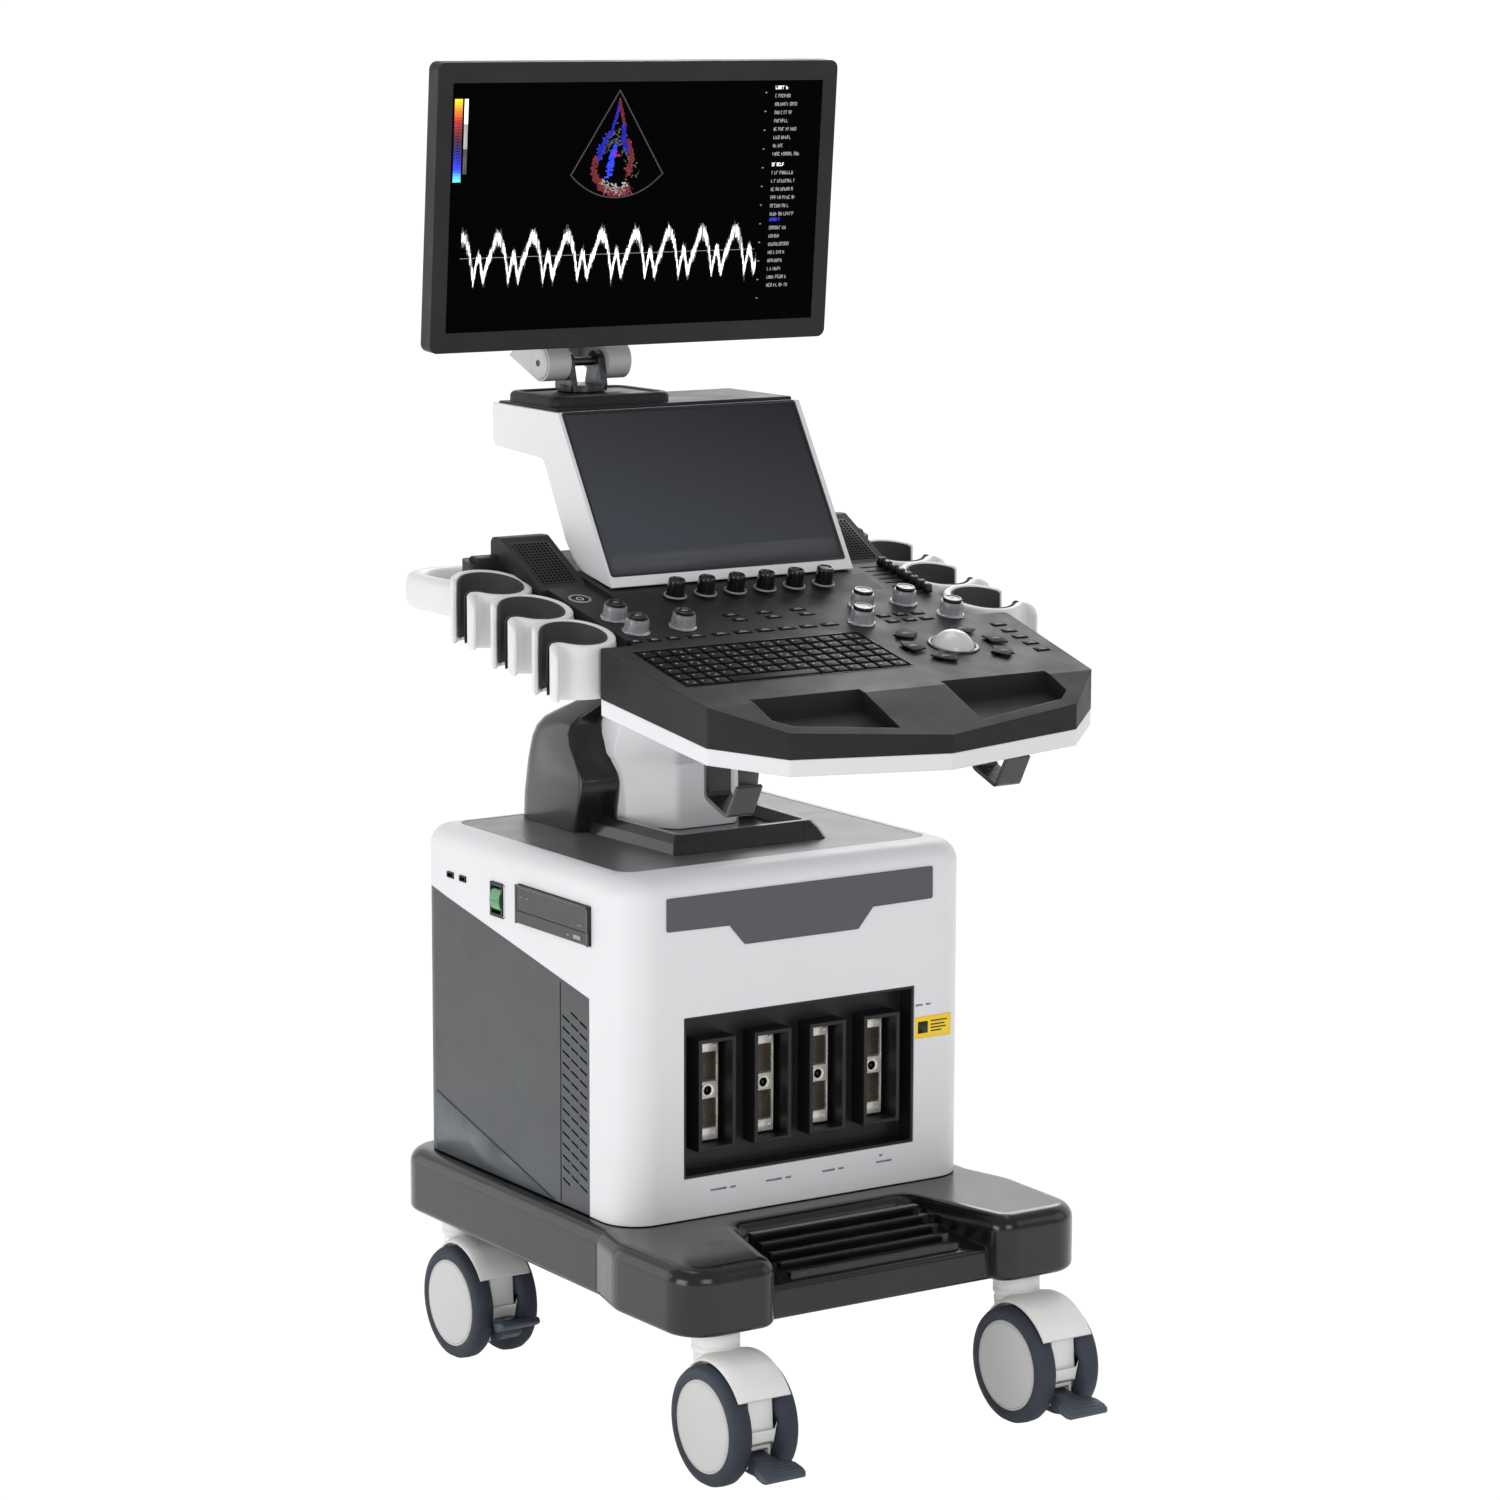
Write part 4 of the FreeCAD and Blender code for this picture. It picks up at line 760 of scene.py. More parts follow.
def caster(corner):
    """A swivelling twin wheel: collar, hood, web, wheels and brake pedal."""
    low, high = corners_of("caster_%s_wheels" % corner)
    hub = Vector(((low.x + high.x) / 2, (low.y + high.y) / 2, AXLE_HIGH))
    swivel = "caster_%s_swivel" % corner
    collar = bmesh.new()
    add_lathe(collar, COLLAR, 56)
    stem = Matrix.Translation((hub.x, hub.y + STEM_BACK, 0))
    solid("caster_%s_collar" % corner, collar, "caster", swivel, stem, 30, "caster_%s_housing" % corner)
    solid("caster_%s_hood" % corner, caster_hood(hub), "caster", swivel, sharp=50)
    solid("caster_%s_web" % corner, caster_web(hub), "caster", swivel, sharp=35)
    caster_wheels(corner)
    pedal(corner)


for corner in ("front_left", "front_right", "rear_left", "rear_right"):
    caster(corner)


# ---------------------------------------------------------------- probe sockets
SCREW = [(0, 0), (2.2, 0), (2.2, 1), (1.6, 1.5), (0, 1.5)]
BOSS = [(4.8, -6), (4.8, 1.6), (5.6, 2.2), (7.4, 2.2), (8, 1.6), (8, -4), (4.8, -6)]
CORE = [(0, -1), (4.9, -1), (4.9, 0.6), (2, 0.6), (1.4, 1.4), (0, 1.4)]


def probe_socket(number):
    """Nickel frame, two ribbed contact fields and a centre boss on the floor of one port frame."""
    x, _, z = MOUNT["probe_socket_%d" % number]["pos_m"]
    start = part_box("probe_sockets")[0][1]
    front, floor = start + 0.005, start + 0.012
    name, end_high, middle_high = "socket_%d_" % number, 0.0475, 0.0252
    plates, fields = bmesh.new(), bmesh.new()
    add_block(plates, (x, floor + 0.0045, z), (0.0284, 0.011, 0.11), 0.0008)
    add_block(plates, (x, front + 0.0032, z), (0.025, 0.0076, 0.0184), 0.001)
    for side, _ in SIDES:
        end, middle = z + side * end_high, z + side * middle_high
        add_block(plates, (x, front + 0.0035, end), (0.0276, 0.007, 0.013), 0.0008)
        add_block(plates, (x + side * 0.0132, front + 0.0037, z), (0.002, 0.0066, 0.092), 0.0004)
        for across in (-0.009, 0.009):
            add_lathe(plates, SCREW, 20, turned((x + across, front, end), QUARTER, "X"))
        add_block(fields, (x, front + 0.005, middle), (0.0236, 0.004, 0.03))
        for row in range(-7, 8):
            add_block(fields, (x, front + 0.0024, middle + row * 0.002), (0.0224, 0.0016, 0.001))
    solid(name + "plates", plates, "nickel", instead="probe_sockets" if number == 1 else None)
    solid(name + "contacts", fields, "contact")
    for part, profile, steps, material in (("boss", BOSS, 40, "nickel"), ("core", CORE, 32, "bay")):
        bm = bmesh.new()
        add_lathe(bm, profile, steps)
        solid(name + part, bm, material, place=turned((x, front, z), QUARTER, "X"))


for index in range(1, 5):
    probe_socket(index)


# ---------------------------------------------------------------- pedestal
def tray_floor(y):
    """Underside of the console tray above the point y."""
    seam_slope = 0.17
    return 0.7356 + seam_slope * (y + 0.33)


# height, half width in front, front, half width at the flank and its place; a height of 0 is the tray's floor
COLUMN = mm([(603.5, 37, 90, 73, 138), (640, 37, 90, 73.5, 140), (657, 37, 90, 74.5, 142),
             (674, 38, 90, 79, 147), (681, 40, 86, 82, 150), (700, 47, 68, 80, 146), (730, 58, 40, 77, 136),
             (760, 67, 14, 79, 130), (783, 70, 10, 80, 130), (0, 70, 10, 80, 130)])
# height, half width, front, back and the radius of the back corners
FAIRING = mm([(594.8, 118, 171, 303, 30), (625, 117.8, 165, 301, 30), (650, 117.2, 160, 298, 32),
              (662, 116.8, 164, 296, 32), (675, 116, 174, 293, 32), (688, 114.5, 186, 289, 30),
              (700, 111.5, 194, 283, 28), (710, 106, 196, 273, 24), (718, 98.5, 192, 258, 20),
              (728, 89, 180, 236, 14), (742, 79, 160, 206, 10)])


def column():
    """White column: a narrow front face, angled flanks, and a neck that leans forward under the console."""
    back, half_back = 0.214, 0.073
    rings = []
    for z, half, front, flank, side in COLUMN:
        plan = round_outline([(half, front, 0.01), (flank, side, 0.006), (half_back, back, 0.012),
                              (-half_back, back, 0.012), (-flank, side, 0.006), (-half, front, 0.01)])
        rings.append([(x, y, z or tray_floor(y) + 0.002) for x, y in plan])
    bm = bmesh.new()
    skin(bm, rings)
    solid("column_shell", bm, "white", sharp=24, instead="pedestal_column")


def fairing():
    """Black hood behind the column, rounded over at the back and drawn in towards the console."""
    rings = []
    for z, half, front, back, turn in FAIRING:
        plan = round_outline([(0.0755, front - 0.012, 0.002), (half, front, 0.0055), (half, back, turn),
                              (-half, back, turn), (-half, front, 0.0055), (-0.0755, front - 0.012, 0.002),
                              (-0.0745, 0.2155, 0.001), (0.0745, 0.2155, 0.001)])
        rings.append([(x, y, z) for x, y in plan])
    bm = bmesh.new()
    skin(bm, rings)
    bmesh.ops.triangulate(bm, faces=[f for f in bm.faces if len(f.verts) > 4])
    solid("fairing_hood", bm, "base", sharp=30, instead="pedestal_fairing")


column()
fairing()


# ---------------------------------------------------------------- monitor picture
def face_frame(node, towards):
    """A frame at the middle of a node's foremost flat face that looks towards a direction."""
    mesh = NODES[node].data
    facing = [polygon for polygon in mesh.polygons if polygon.normal.dot(towards) > 0.5]
    normal = max(facing, key=lambda polygon: polygon.area).normal.copy()
    points = [vertex.co for vertex in mesh.vertices]
    reach = max(point.dot(normal) for point in points)
    front = [point for point in points if point.dot(normal) > reach - 1e-5]
    up = normal.cross(ACROSS).normalized()
    return basis(up if up.z > 0 else -up, normal, sum(front, Vector()) / len(front))


SCREEN_WIDE, SCREEN_TALL = 0.464, 0.261
SCREEN = face_frame("monitor_screen", Vector((0, -1, 0)))
for index, (tone, power) in enumerate((("f4f4f4", 1.3), ("9a9a9a", 0.8), ("4c4c4c", 0.5))):
    MAT["trace%d" % index] = glow("trace_%d" % index, linear(tone), power)
for word, tone in (("red", "a81f20"), ("navy", "1a1fa0"), ("blue", "2a3fe0"), ("wine", "6e1f28")):
    MAT["lit_" + word] = glow("lit_" + word, linear(tone), 0.9)


def on_screen(u, v):
    """Screen fractions, from the top left, to the picture's own metres."""
    return (u - 0.5) * SCREEN_WIDE, (0.5 - v) * SCREEN_TALL


def add_dash(bm, x0, y0, x1, y1, lift=0.00012):
    """A flat lit rectangle with a little thickness."""
    add_box(bm, (x0, y0, 0.00002), (x1, y1, lift))


def add_patch(bm, centre, wide, tall, lift=0.00012):
    """A lit rectangle round its centre."""
    x, y = centre
    add_dash(bm, x - wide / 2, y - tall / 2, x + wide / 2, y + tall / 2, lift)


def flow_trace(layers):
    """Upright strokes along a repeating double-dipped wave."""
    wave = ((0, 0.7), (0.07, 0.655), (0.16, 0.632), (0.27, 0.645), (0.37, 0.69), (0.44, 0.745),
            (0.5, 0.808), (0.55, 0.765), (0.61, 0.712), (0.68, 0.722), (0.75, 0.785), (0.8, 0.8),
            (0.88, 0.74), (1.0, 0.7))
    strokes = (("trace0", 0.95, 0.0105, 0.00016), ("trace1", 0.85, 0.0135, 0.00012),
               ("trace2", 0.45, 0.019, 0.00008))
    steps, beats = 620, 8.7
    for step in range(steps):
        part = step / steps
        phase = (part * beats + 0.15) % 1.0
        for (t0, v0), (t1, v1) in zip(wave, wave[1:]):
            if t0 <= phase <= t1:
                level = v0 + (v1 - v0) * (phase - t0) / (t1 - t0) - 0.014
        dim = 0.12 <= phase <= 0.45
        for layer, chance, tall, lift in strokes:
            if random.random() < (0.5 if dim and layer == "trace0" else chance):
                place = on_screen(0.035 + 0.8 * part, level + random.uniform(-0.007, 0.007))
                add_patch(layers[layer], place, 0.0008, tall * random.uniform(0.7, 1.25), lift)
    add_patch(layers["trace1"], on_screen(0.43, 0.701), 0.37, 0.0004)


# layer, (angle, depth) points down the middle of a wall, spread and number of specks
WALLS = (("lit_navy", ((-0.02, 0.1), (-0.2, 0.3), (-0.24, 0.44)), 0.014, 130),
         ("lit_navy", ((-0.3, 0.44), (-0.42, 0.58), (-0.36, 0.66)), 0.026, 210),
         ("lit_blue", ((-0.06, 0.52), (-0.12, 0.64), (-0.14, 0.78)), 0.024, 220),
         ("lit_wine", ((0.02, 0.1), (0.18, 0.2), (0.26, 0.34)), 0.018, 200),
         ("lit_navy", ((0.22, 0.34), (0.16, 0.46), (0.24, 0.58)), 0.026, 230),
         ("lit_wine", ((0.3, 0.5), (0.3, 0.66), (0.18, 0.8)), 0.022, 220),
         ("lit_wine", ((-0.44, 0.7), (-0.38, 0.84), (-0.2, 0.92)), 0.022, 240),
         ("lit_red", ((-0.1, 0.58), (0.02, 0.6)), 0.016, 30),
         ("trace1", ((-0.24, 0.86), (-0.06, 0.93), (0.14, 0.92)), 0.026, 110),
         ("lit_wine", ((-0.2, 0.93), (-0.02, 0.96), (0.2, 0.94)), 0.024, 200),
         ("trace2", ((-0.4, 0.6), (0.02, 0.4), (0.36, 0.8)), 0.06, 110))


def sector_image(layers):
    """Two straight edges, a curved foot and coloured walls round dark chambers."""
    half, long, squeeze = math.radians(38.5), 0.114, 0.81
    apex_x, apex_y = on_screen(0.44, 0.034)

    def spot(angle, depth):
        """A place in the sector, from its apex."""
        return apex_x + squeeze * math.sin(angle) * depth, apex_y - math.cos(angle) * depth

    rows, columns = 40, 60
    for side, _ in SIDES:
        for row in range(rows):
            add_patch(layers["trace2"], spot(side * half, long * (row + 0.5) / rows), 0.001, 0.0026, 0.0001)
    for step in range(columns):
        angle = -half + 2 * half * step / (columns - 1)
        add_patch(layers["trace2"], spot(angle, long), 0.0024, 0.0008, 0.0001)
    for layer, points, spread, count in WALLS:
        for _ in range(count):
            along = random.random() * (len(points) - 1)
            number = min(int(along), len(points) - 2)
            (angle, depth), (next_angle, next_depth) = points[number:number + 2]
            angle += (next_angle - angle) * (along - number) + random.gauss(0, spread)
            depth += (next_depth - depth) * (along - number) + random.gauss(0, spread)
            place = spot(max(-half, min(half, angle)), long * min(0.985, max(0.03, depth)))
            size = random.uniform(0.0005, 0.0013)
            add_patch(layers[layer], place, 2 * size, 1.6 * size, 0.00013)


def text_column(layers):
    """Three blocks of lines whose letters are one to three random strokes that spell nothing."""
    for title, top, lines in (("trace0", 0.025, 9), ("trace0", 0.345, 7), ("lit_blue", 0.575, 9)):
        for line in range(lines):
            cursor, y = on_screen(0.868, top + line * 0.0345)
            layer, end = "trace1", cursor + random.uniform(0.01, 0.034)
            if line == 0:
                layer, end = title, cursor + 0.014
            while cursor < end:
                letter = random.uniform(0.0014, 0.0024)
                add_dash(layers[layer], cursor, y - 0.003, cursor + 0.0005, y + 0.0006)
                for height in random.sample((-0.003, -0.0014, 0.0002), random.choice((1, 2))):
                    add_dash(layers[layer], cursor, y + height, cursor + letter, y + height + 0.0006)
                if random.random() < 0.5:
                    add_dash(layers[layer], cursor + letter - 0.0005, y - 0.003, cursor + letter, y + 0.0006)
                cursor += letter + (0.0022 if random.random() < 0.2 else 0.0006)


def colour_bar():
    """A scale of warm to cold colours, and three greys beside it."""
    tones = [linear(tone) for tone in ("f2d21a", "e8791c", "a81f20", "6e1f28", "3a1026", "14165a", "1a1fa0",
                                       "2a3fe0", "63d6e6")]
    steps, tall = 27, 0.332
    for step in range(steps):
        place = step / (steps - 1) * (len(tones) - 1)
        number = min(int(place), len(tones) - 2)
        tone = [low + (high - low) * (place - number) for low, high in zip(tones[number], tones[number + 1])]
        name = "scale_%02d" % step
        MAT[name] = glow(name, tone, 0.9)
        bm = bmesh.new()
        centre = on_screen(0.016, 0.068 + step * tall / steps)
        add_patch(bm, centre, 0.0095, SCREEN_TALL * (tall + 0.002) / steps)
        solid("picture_" + name, bm, name, "monitor", SCREEN)
    for number in range(3):
        bm = bmesh.new()
        add_patch(bm, on_screen(0.036, 0.112 + number * 0.1), 0.0045, SCREEN_TALL * 0.1)
        solid("picture_grey_%d" % number, bm, "trace%d" % number, "monitor", SCREEN)


def picture():
    """Generic display: flow trace, sector image, plain text strokes, scale ticks and colour bar."""
    layers = {name: bmesh.new() for name in ("trace0", "trace1", "trace2", "lit_red", "lit_wine", "lit_blue",
                                             "lit_navy")}
    flow_trace(layers)
    sector_image(layers)
    text_column(layers)
    for tick in range(12):
        add_patch(layers["trace1"], on_screen(0.842, 0.05 + tick * 0.078), 0.0022, 0.0009)
    for name, bm in layers.items():
        solid("picture_" + name, bm, name, "monitor", SCREEN)
    colour_bar()


picture()


# ---------------------------------------------------------------- touch panel
def touch_details():
    """A thin raised border and a darker icon strip along the foot of the touch glass."""
    place = face_frame("touch_panel", Vector((0, -0.85, 0.5)))
    low, high = corners_of("touch_panel")
    x, y = (high.x - low.x) / 2, math.hypot(high.y - low.y, high.z - low.z) / 2
    half, back, front = 0.0016, -0.001, 0.0009
    corners = []
    for side, _ in SIDES:
        corners.append(((side * x - half, -y, back), (side * x + half, y, front)))
        corners.append(((-x, side * y - half, back), (x, side * y + half, front)))
    boxes("touch_border", "gloss", corners, 0.0004, place=place)
    strip = (-x + 0.0018, -y + 0.0018, -0.0002), (x - 0.0018, -y + 0.026, 0.00025)
    boxes("touch_strip", "touch_low", [strip], place=place)


# ---------------------------------------------------------------- speaker grilles
def grille(side, word):
    """Perforated plate laid on the sloping face of one speaker pod: rows of small round holes."""
    start, end = Vector((side * 0.1925, 0.066, 0.8782)), Vector((side * 0.1925, 0.15, 0.926))
    along = (end - start).normalized()
    place = basis(along, ACROSS.cross(along), (start + end) / 2)
    plate, holes = bmesh.new(), bmesh.new()
    x, y, radius = 0.0225, 0.037, 0.004
    corners = (-x, -y, radius), (x, -y, radius), (x, y, radius), (-x, y, radius)
    add_prism(plate, round_outline(corners), -0.001, 0.0007, 0.0004)
    solid("grille_%s_plate" % word, plate, "deck", place=place)
    pitch, dot = 0.0047, [(0, -0.6), (1.5, -0.6), (1.5, 0.95), (0, 0.95)]
    for row in range(-7, 8):
        for column in range(-4, 5):
            add_lathe(holes, dot, 12, Matrix.Translation((column * pitch, row * pitch, 0)))
    solid("grille_%s_holes" % word, holes, "hole", place=place)


# ---------------------------------------------------------------- small marks
def front_marks():
    """Plain yellow label with blank strokes, and faint blank marks on the front of the cabinet."""
    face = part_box("cabinet_shell")[0][1]
    boxes("label_plate", "yellow", [((0.148, face - 0.0004, 0.384), (0.195, face + 0.0004, 0.408))], 0.0002)
    bm = bmesh.new()
    add_box(bm, (0.1515, face - 0.0006, 0.3895), (0.1645, face - 0.0003, 0.4025), 0.0001)
    for z, wide in ((0.402, 0.021), (0.398, 0.018), (0.3945, 0.02), (0.391, 0.014)):
        add_box(bm, (0.1685, face - 0.0006, z - 0.0007), (0.1685 + wide, face - 0.0003, z + 0.0007))
    solid("label_strokes", bm, "print")
    bm = bmesh.new()
    for x, z, wide in mm(((153, 421, 9), (165, 421, 6), (-104, 255, 20), (-86, 255, 7), (-34, 255, 20),
                          (-16, 255, 7), (36, 255, 16), (52, 255, 7), (108, 255, 20), (104, 262, 4))):
        add_block(bm, (x, face, z), (wide, 0.0006, 0.0022))
    solid("front_faint_marks", bm, "faint")


touch_details()
for side, word in SIDES:
    grille(side, word)
front_marks()


# ---------------------------------------------------------------- left side details
def drive_details():
    """Eject button and lamp on the drawer, and a raised frame and marks on the drive's bezel."""
    low = corners_of("drive_tray")[0]
    bm = bmesh.new()
    add_block(bm, low + Vector((-0.0001, 0.019, 0.006)), (0.0022, 0.014, 0.0044), 0.0006)
    add_block(bm, low + Vector((0.00025, 0.03775, 0.0057)), (0.0015, 0.0035, 0.0018))
    solid("drive_button", bm, "ring", "drive_drawer")
    low, high = corners_of("optical_drive")
    front, back = low.x - 0.0006, low.x + 0.001
    boxes("drive_frame", "badge", [((front, low.y, low.z), (back, low.y + 0.003, high.z)),
                                   ((front, high.y - 0.003, low.z), (back, high.y, high.z)),
                                   ((front, low.y, high.z - 0.0025), (back, high.y, high.z))], 0.0003)
    bm = bmesh.new()
    for y, drop, wide in ((high.y - 0.01275, 0.0116, 0.0065), (high.y - 0.02595, 0.0116, 0.0065),
                          (low.y + 0.015, 0.0216, 0.01)):
        add_block(bm, (low.x + 0.0002, y, high.z - drop), (0.0016, wide, 0.0008), 0.0001)
    solid("drive_marks", bm, "ring")


def rocker_surround():
    """A raised rim round the power switch."""
    low, high = corners_of("power_rocker")
    face, reach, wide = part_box("cabinet_shell")[0][0], 0.006, 0.0018
    front, back = face - 0.0012, face + 0.001
    y0, y1, z0, z1 = low.y - reach, high.y + reach, low.z - reach, high.z + reach
    boxes("rocker_surround", "holder", [((front, y0, z0), (back, y0 + wide, z1)),
                                        ((front, y1 - wide, z0), (back, y1, z1)),
                                        ((front, y0, z0), (back, y1, z0 + wide)),
                                        ((front, y0, z1 - wide), (back, y1, z1))], 0.0005)


def side_panel_details(side, word):
    """Fine line in front of the slotted part of a side panel, and the paler facet low at the back of it."""
    x = side * 0.2214
    boxes("vent_line_" + word, "bay", [((x, 0.031, 0.2305), (x + side * 0.0004, 0.032, 0.468))])
    bm = bmesh.new()
    add_prism(bm, [(0.044, 0.2285), (0.298, 0.2285), (0.298, 0.2955)], 0.0, side * 0.0012)
    bm.transform(Matrix.Translation((x, 0, 0)) @ SIDEWAYS)
    solid("panel_facet_" + word, bm, "facet")


def base_seams():
    """The joint line between the front and back mouldings of the base, on both sides."""
    low, high = corners_of("base_cover")
    boxes("base_seams", "bay", [((side * 0.2421, -0.0726, low.z + 0.006),
                                 (side * 0.2381, -0.0716, high.z - 0.017)) for side, _ in SIDES])


def arm_caps(name, half, radius, body):
    """Round end caps with a screw on both ends of one of the monitor arm's pins; sizes in millimetres."""
    caps, screws = bmesh.new(), bmesh.new()
    for side, _ in SIDES:
        place = turned(pin(name + "_fold"), QUARTER * side, "Y")
        add_lathe(caps, [(0, half - 1), (radius, half - 1), (radius, half + 1), (radius - 1.2, half + 1.8),
                         (radius * 0.5, half + 2.4), (0, half + 2.6)], 40, place)
        add_lathe(screws, [(0, half + 2), (3.6, half + 2), (3.6, half + 3.1), (1.8, half + 3.3),
                           (1.6, half + 2.6), (0, half + 2.6)], 40, place)
    solid(name + "_caps", caps, "arm", body)
    solid(name + "_screws", screws, "steel", body)


def closed_strip(bm, outline, section):
    """A moulding that runs round a closed outline; section gives (inset, height) points."""
    rings = []
    for number, (x, y) in enumerate(outline):
        along = Vector(outline[(number + 1) % len(outline)]) - Vector(outline[number - 1])
        inward = Vector((-along.y, along.x)).normalized()
        rings.append([(x + inward.x * inset, y + inward.y * inset, height) for inset, height in section])
    skin(bm, rings + [rings[0]], False)


def plate_outline(inset):
    """The rounded outline of the arm's plate, drawn in by an inset."""
    right, left, front, back = 0.004 - inset, -0.144 + inset, 0.16 + inset, 0.274 - inset
    corners = (right, front), (right, back), (left, back), (left, front)
    return round_outline([(x, y, 0.02) for x, y in corners], 6)


def arm_seat():
    """The black lid on the touch screen housing and the raised, rimmed plate the monitor arm stands on."""
    low, high = corners_of("arm_base")
    top = high.z
    bm = bmesh.new()
    add_box(bm, low, (high.x, high.y, top - 0.0097), 0.0016, 3)
    rim = mm([(-0.6, -10.2), (-0.6, -3), (1.2, 0.2), (3.6, 1.4), (8, 1.4), (10.4, 0.2), (11.2, -1.6),
              (9, -10.2)])
    closed_strip(bm, plate_outline(0), [(inset, top + rise) for inset, rise in rim])
    add_prism(bm, plate_outline(0.008), top - 0.01, top - 0.0008, 0.0004)
    solid("arm_seat_lid", bm, "deck", instead="arm_base")


def deck_trim():
    """Thin frame round the keyboard and a ring round the trackball."""
    x0, x1, y0, y1, wide = -0.2278, 0.0498, 0.0557, 0.1608, 0.0009
    fold = Vector((0, -0.278, 0.802))
    sides = (x0, x1, y0, y0 + wide), (x0, x1, y1 - wide, y1), (x0, x0 + wide, y0, y1), (x1 - wide, x1, y0, y1)
    corners = [((left, near, -0.001), (right, far, 0.0005)) for left, right, near, far in sides]
    boxes("keyboard_frame", "gloss", corners, 0.0002, place=on_deck(fold))
    lathe("ball_ring", [(23.6, 6), (27, 6), (27.8, 8.2), (27.4, 9.4), (26.2, 10), (24.6, 9.6), (23.6, 8.4),
                        (23.6, 6)],
          "gloss", "root", on_deck(pin("ball_roll")), 64)


def monitor_vents():
    """Rows of short slots on the back of the monitor."""
    normal = SCREEN.to_3x3() @ Vector((0, 0, -1))
    middle = SCREEN.translation
    shell = NODES["monitor_shell"].data.vertices
    reach = max(v.co.dot(normal) for v in shell if abs(v.co.x - middle.x) > 0.1)
    place = Matrix.Translation(normal * (reach - middle.dot(normal))) @ SCREEN
    bm = bmesh.new()
    for row in range(7):
        for column in range(-7, 8):
            add_block(bm, (column * 0.0185, 0.062 + row * 0.0058, 0.00005), (0.0136, 0.0022, 0.0011))
    solid("monitor_vents", bm, "bay", "monitor", place)


def rear_details():
    """A mains inlet, blank plates and screws on the rear panel."""
    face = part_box("rear_panel")[1][1]
    bm = bmesh.new()
    add_box(bm, (0.094, face - 0.001, 0.262), (0.146, face + 0.0022, 0.302), 0.0015)
    add_box(bm, (-0.15, face - 0.001, 0.262), (0.04, face + 0.0012, 0.318), 0.0008)
    solid("rear_plates", bm, "frame")
    bm = bmesh.new()
    for x in (0.11, 0.12, 0.13):
        add_block(bm, (x, face + 0.0019, 0.283), (0.0022, 0.0014, 0.01))
    head = [(0, 0), (2.8, 0), (2.8, 1), (2, 1.5), (0, 1.5)]
    for x, z in ((-0.143, 0.268), (-0.143, 0.312), (0.033, 0.268), (0.033, 0.312)):
        add_lathe(bm, head, 20, turned((x, face + 0.001, z), -QUARTER, "X"))
    for number in range(5):
        add_block(bm, (-0.125 + number * 0.034, face + 0.0013, 0.291), (0.022, 0.0014, 0.014), 0.0008)
    solid("rear_ports", bm, "steel")


def back_handle():
    """The grip round the back of the console: one fat rounded tube bent through two wide corners."""
    low, high = corners_of("rear_handle")
    middle, half, tall, bend = (low.z + high.z) / 2, 0.0118, (high.z - low.z) / 2, 0.052
    front, back, side = low.y, high.y - half, high.x - half
    path = [(side, front), (side, front + 0.04)]
    for turn in (math.radians(angle) for angle in range(0, 91, 9)):
        path.append((side - bend + bend * math.cos(turn), back - bend + bend * math.sin(turn)))
    path += [(-x, y) for x, y in reversed(path)]

    def squared(value, power):
        """A circle's coordinate pushed out towards a rounded box."""
        return math.copysign(abs(value) ** power, value)

    section = [(half * squared(math.cos(t), 0.7), tall * squared(math.sin(t), 0.55))
               for t in (math.radians(angle) for angle in range(0, 360, 15))]
    rings = []
    for number, (x, y) in enumerate(path):
        along = Vector(path[min(len(path) - 1, number + 1)]) - Vector(path[max(0, number - 1)])
        across = Vector((along.y, -along.x)).normalized()
        rings.append([(x + across.x * out, y + across.y * out, middle + rise) for out, rise in section])
    bm = bmesh.new()
    skin(bm, rings)
    solid("handle_tube", bm, "holder", sharp=60, instead="rear_handle")


drive_details()
rocker_surround()
for side, word in SIDES:
    side_panel_details(side, word)
base_seams()
arm_caps("hub", 52, 17.5, "lower_link")
arm_caps("elbow", 34, 14.5, "upper_link")
arm_seat()
deck_trim()
monitor_vents()
rear_details()
back_handle()


# ---------------------------------------------------------------- studio
CAMERA_TURN = 0.56849
CAMERA_DIP = 0.16125
PAPER_GLOW = 1.05


def pure_to_camera(tree, lit, paper_kind, output):
    """Show a surface or world as plain white paper to the camera, and as it is lit to everything else."""
    paper, seen = tree.nodes.new(paper_kind), tree.nodes.new("ShaderNodeLightPath")
    paper.inputs["Color"].default_value = (1, 1, 1, 1)
    paper.inputs["Strength"].default_value = PAPER_GLOW
    pick = tree.nodes.new("ShaderNodeMixShader")
    sources = seen.outputs["Is Camera Ray"], lit.outputs[0], paper.outputs[0]
    for source, target in zip(sources, pick.inputs):
        tree.links.new(source, target)
    tree.links.new(pick.outputs[0], tree.nodes[output].inputs["Surface"])


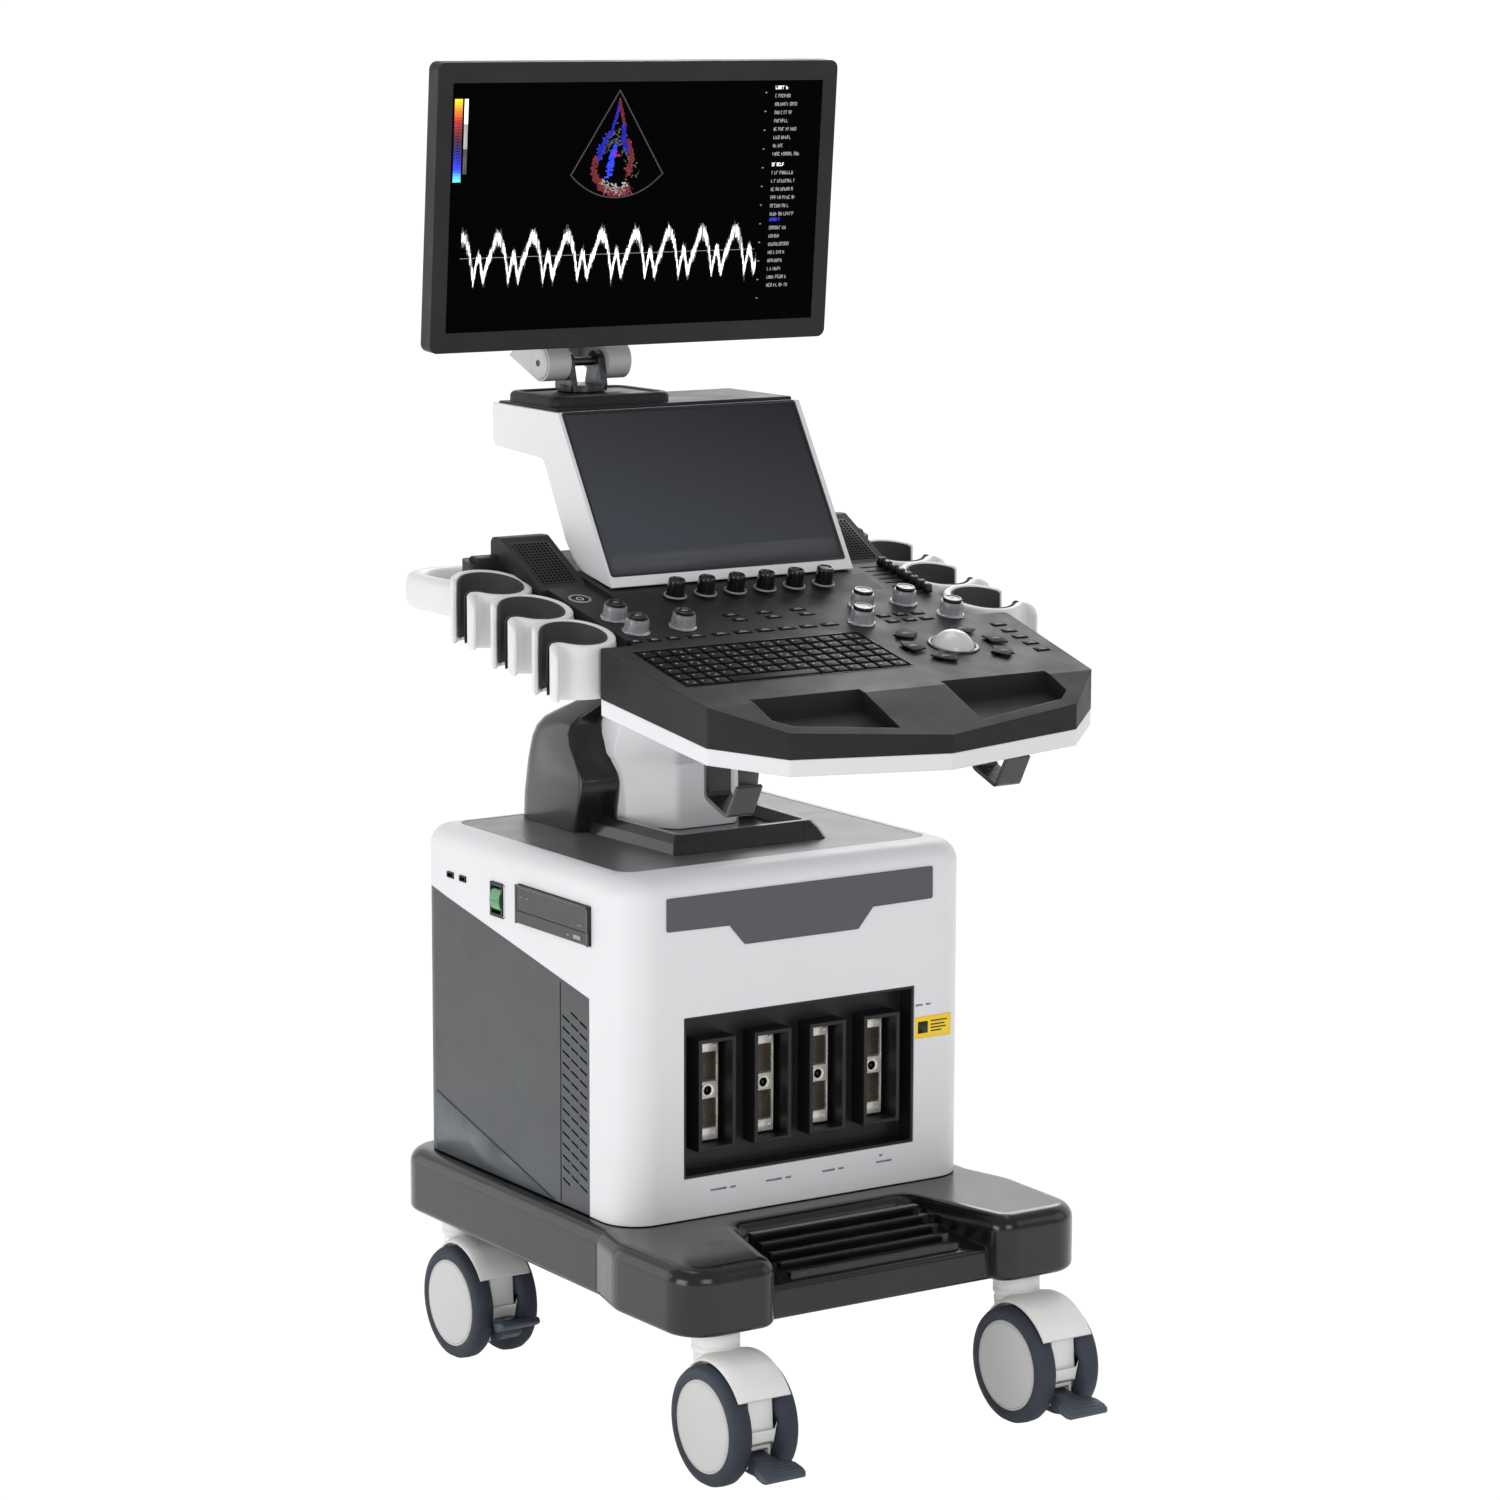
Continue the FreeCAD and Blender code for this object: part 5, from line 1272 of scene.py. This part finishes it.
def backdrop():
    """A pale floor that curves up into a backdrop behind the object."""
    start, bend, left, right = 3.5, 2.0, -9.0, 13.0
    turns = [math.radians(angle) for angle in range(10, 91, 10)]
    profile = [(left, 0.0), (start, 0.0)]
    profile += [(start + bend * math.sin(t), bend - bend * math.cos(t)) for t in turns]
    profile += [(start + bend, 9.0)]
    count = len(profile)
    mesh = bpy.data.meshes.new("sweep")
    mesh.from_pydata([(x, y, z) for x in (left, right) for y, z in profile], [],
                     [(i, i + 1, i + 1 + count, i + count) for i in range(count - 1)])
    sweep = bpy.data.objects.new("sweep", mesh)
    sweep.rotation_euler[2] = -CAMERA_TURN
    bpy.context.collection.objects.link(sweep)
    g = Graph("sweep_paint")
    g.join(g.blend(g.span(g.noise(0.6), 0.3, 0.7), (0.86, 0.86, 0.86, 1), (0.9, 0.9, 0.9, 1)), "Base Color")
    g.put(Roughness=0.9, Emission_Color=(1, 1, 1, 1), Emission_Strength=0.3)
    pure_to_camera(g.tree, g.shader, "ShaderNodeEmission", "Material Output")
    mesh.materials.append(g.material)


def aimed(name, data, place, ahead):
    """An object at a place that looks along a direction."""
    made = bpy.data.objects.new(name, data)
    made.location = place
    made.rotation_euler = ahead.to_track_quat("-Z", "Y").to_euler()
    bpy.context.collection.objects.link(made)
    return made


LIGHTS = (("key", (-1.2, -4.6, 2.2), 2.2, 50), ("fill", (3.6, -2.6, 2.2), 2.6, 16),
          ("top", (0.2, 0.8, 4.2), 2.4, 40), ("rim", (2.6, 2.8, 2.8), 2.0, 40),
          ("side", (-4.6, -0.6, 0.9), 2.4, 78), ("edge", (-3.2, 3.8, 1.5), 3.0, 34))


def studio():
    """Soft lights, a pale world and the camera."""
    target = Vector((0, 0, 0.75))
    for name, place, size, power in LIGHTS:
        light = bpy.data.lights.new(name, "AREA")
        light.energy = power
        light.size = size
        aimed(name, light, place, target - Vector(place))
    world = bpy.data.worlds.new("studio")
    world.use_nodes = True
    ambient = world.node_tree.nodes["Background"]
    ambient.inputs["Color"].default_value = (1, 1, 1, 1)
    ambient.inputs["Strength"].default_value = 0.46
    pure_to_camera(world.node_tree, ambient, "ShaderNodeBackground", "World Output")
    scene = bpy.context.scene
    scene.world = world
    scene.view_settings.view_transform = "Standard"
    lens = bpy.data.cameras.new("camera")
    lens.lens = 105.59
    lens.sensor_width = 36
    lens.shift_x = 0.0454
    lens.shift_y = -0.0128
    level = math.cos(CAMERA_DIP)
    ahead = Vector((math.sin(CAMERA_TURN) * level, math.cos(CAMERA_TURN) * level, -math.sin(CAMERA_DIP)))
    scene.camera = aimed("camera", lens, (-2.551, -3.853, 1.472), ahead)


backdrop()
studio()
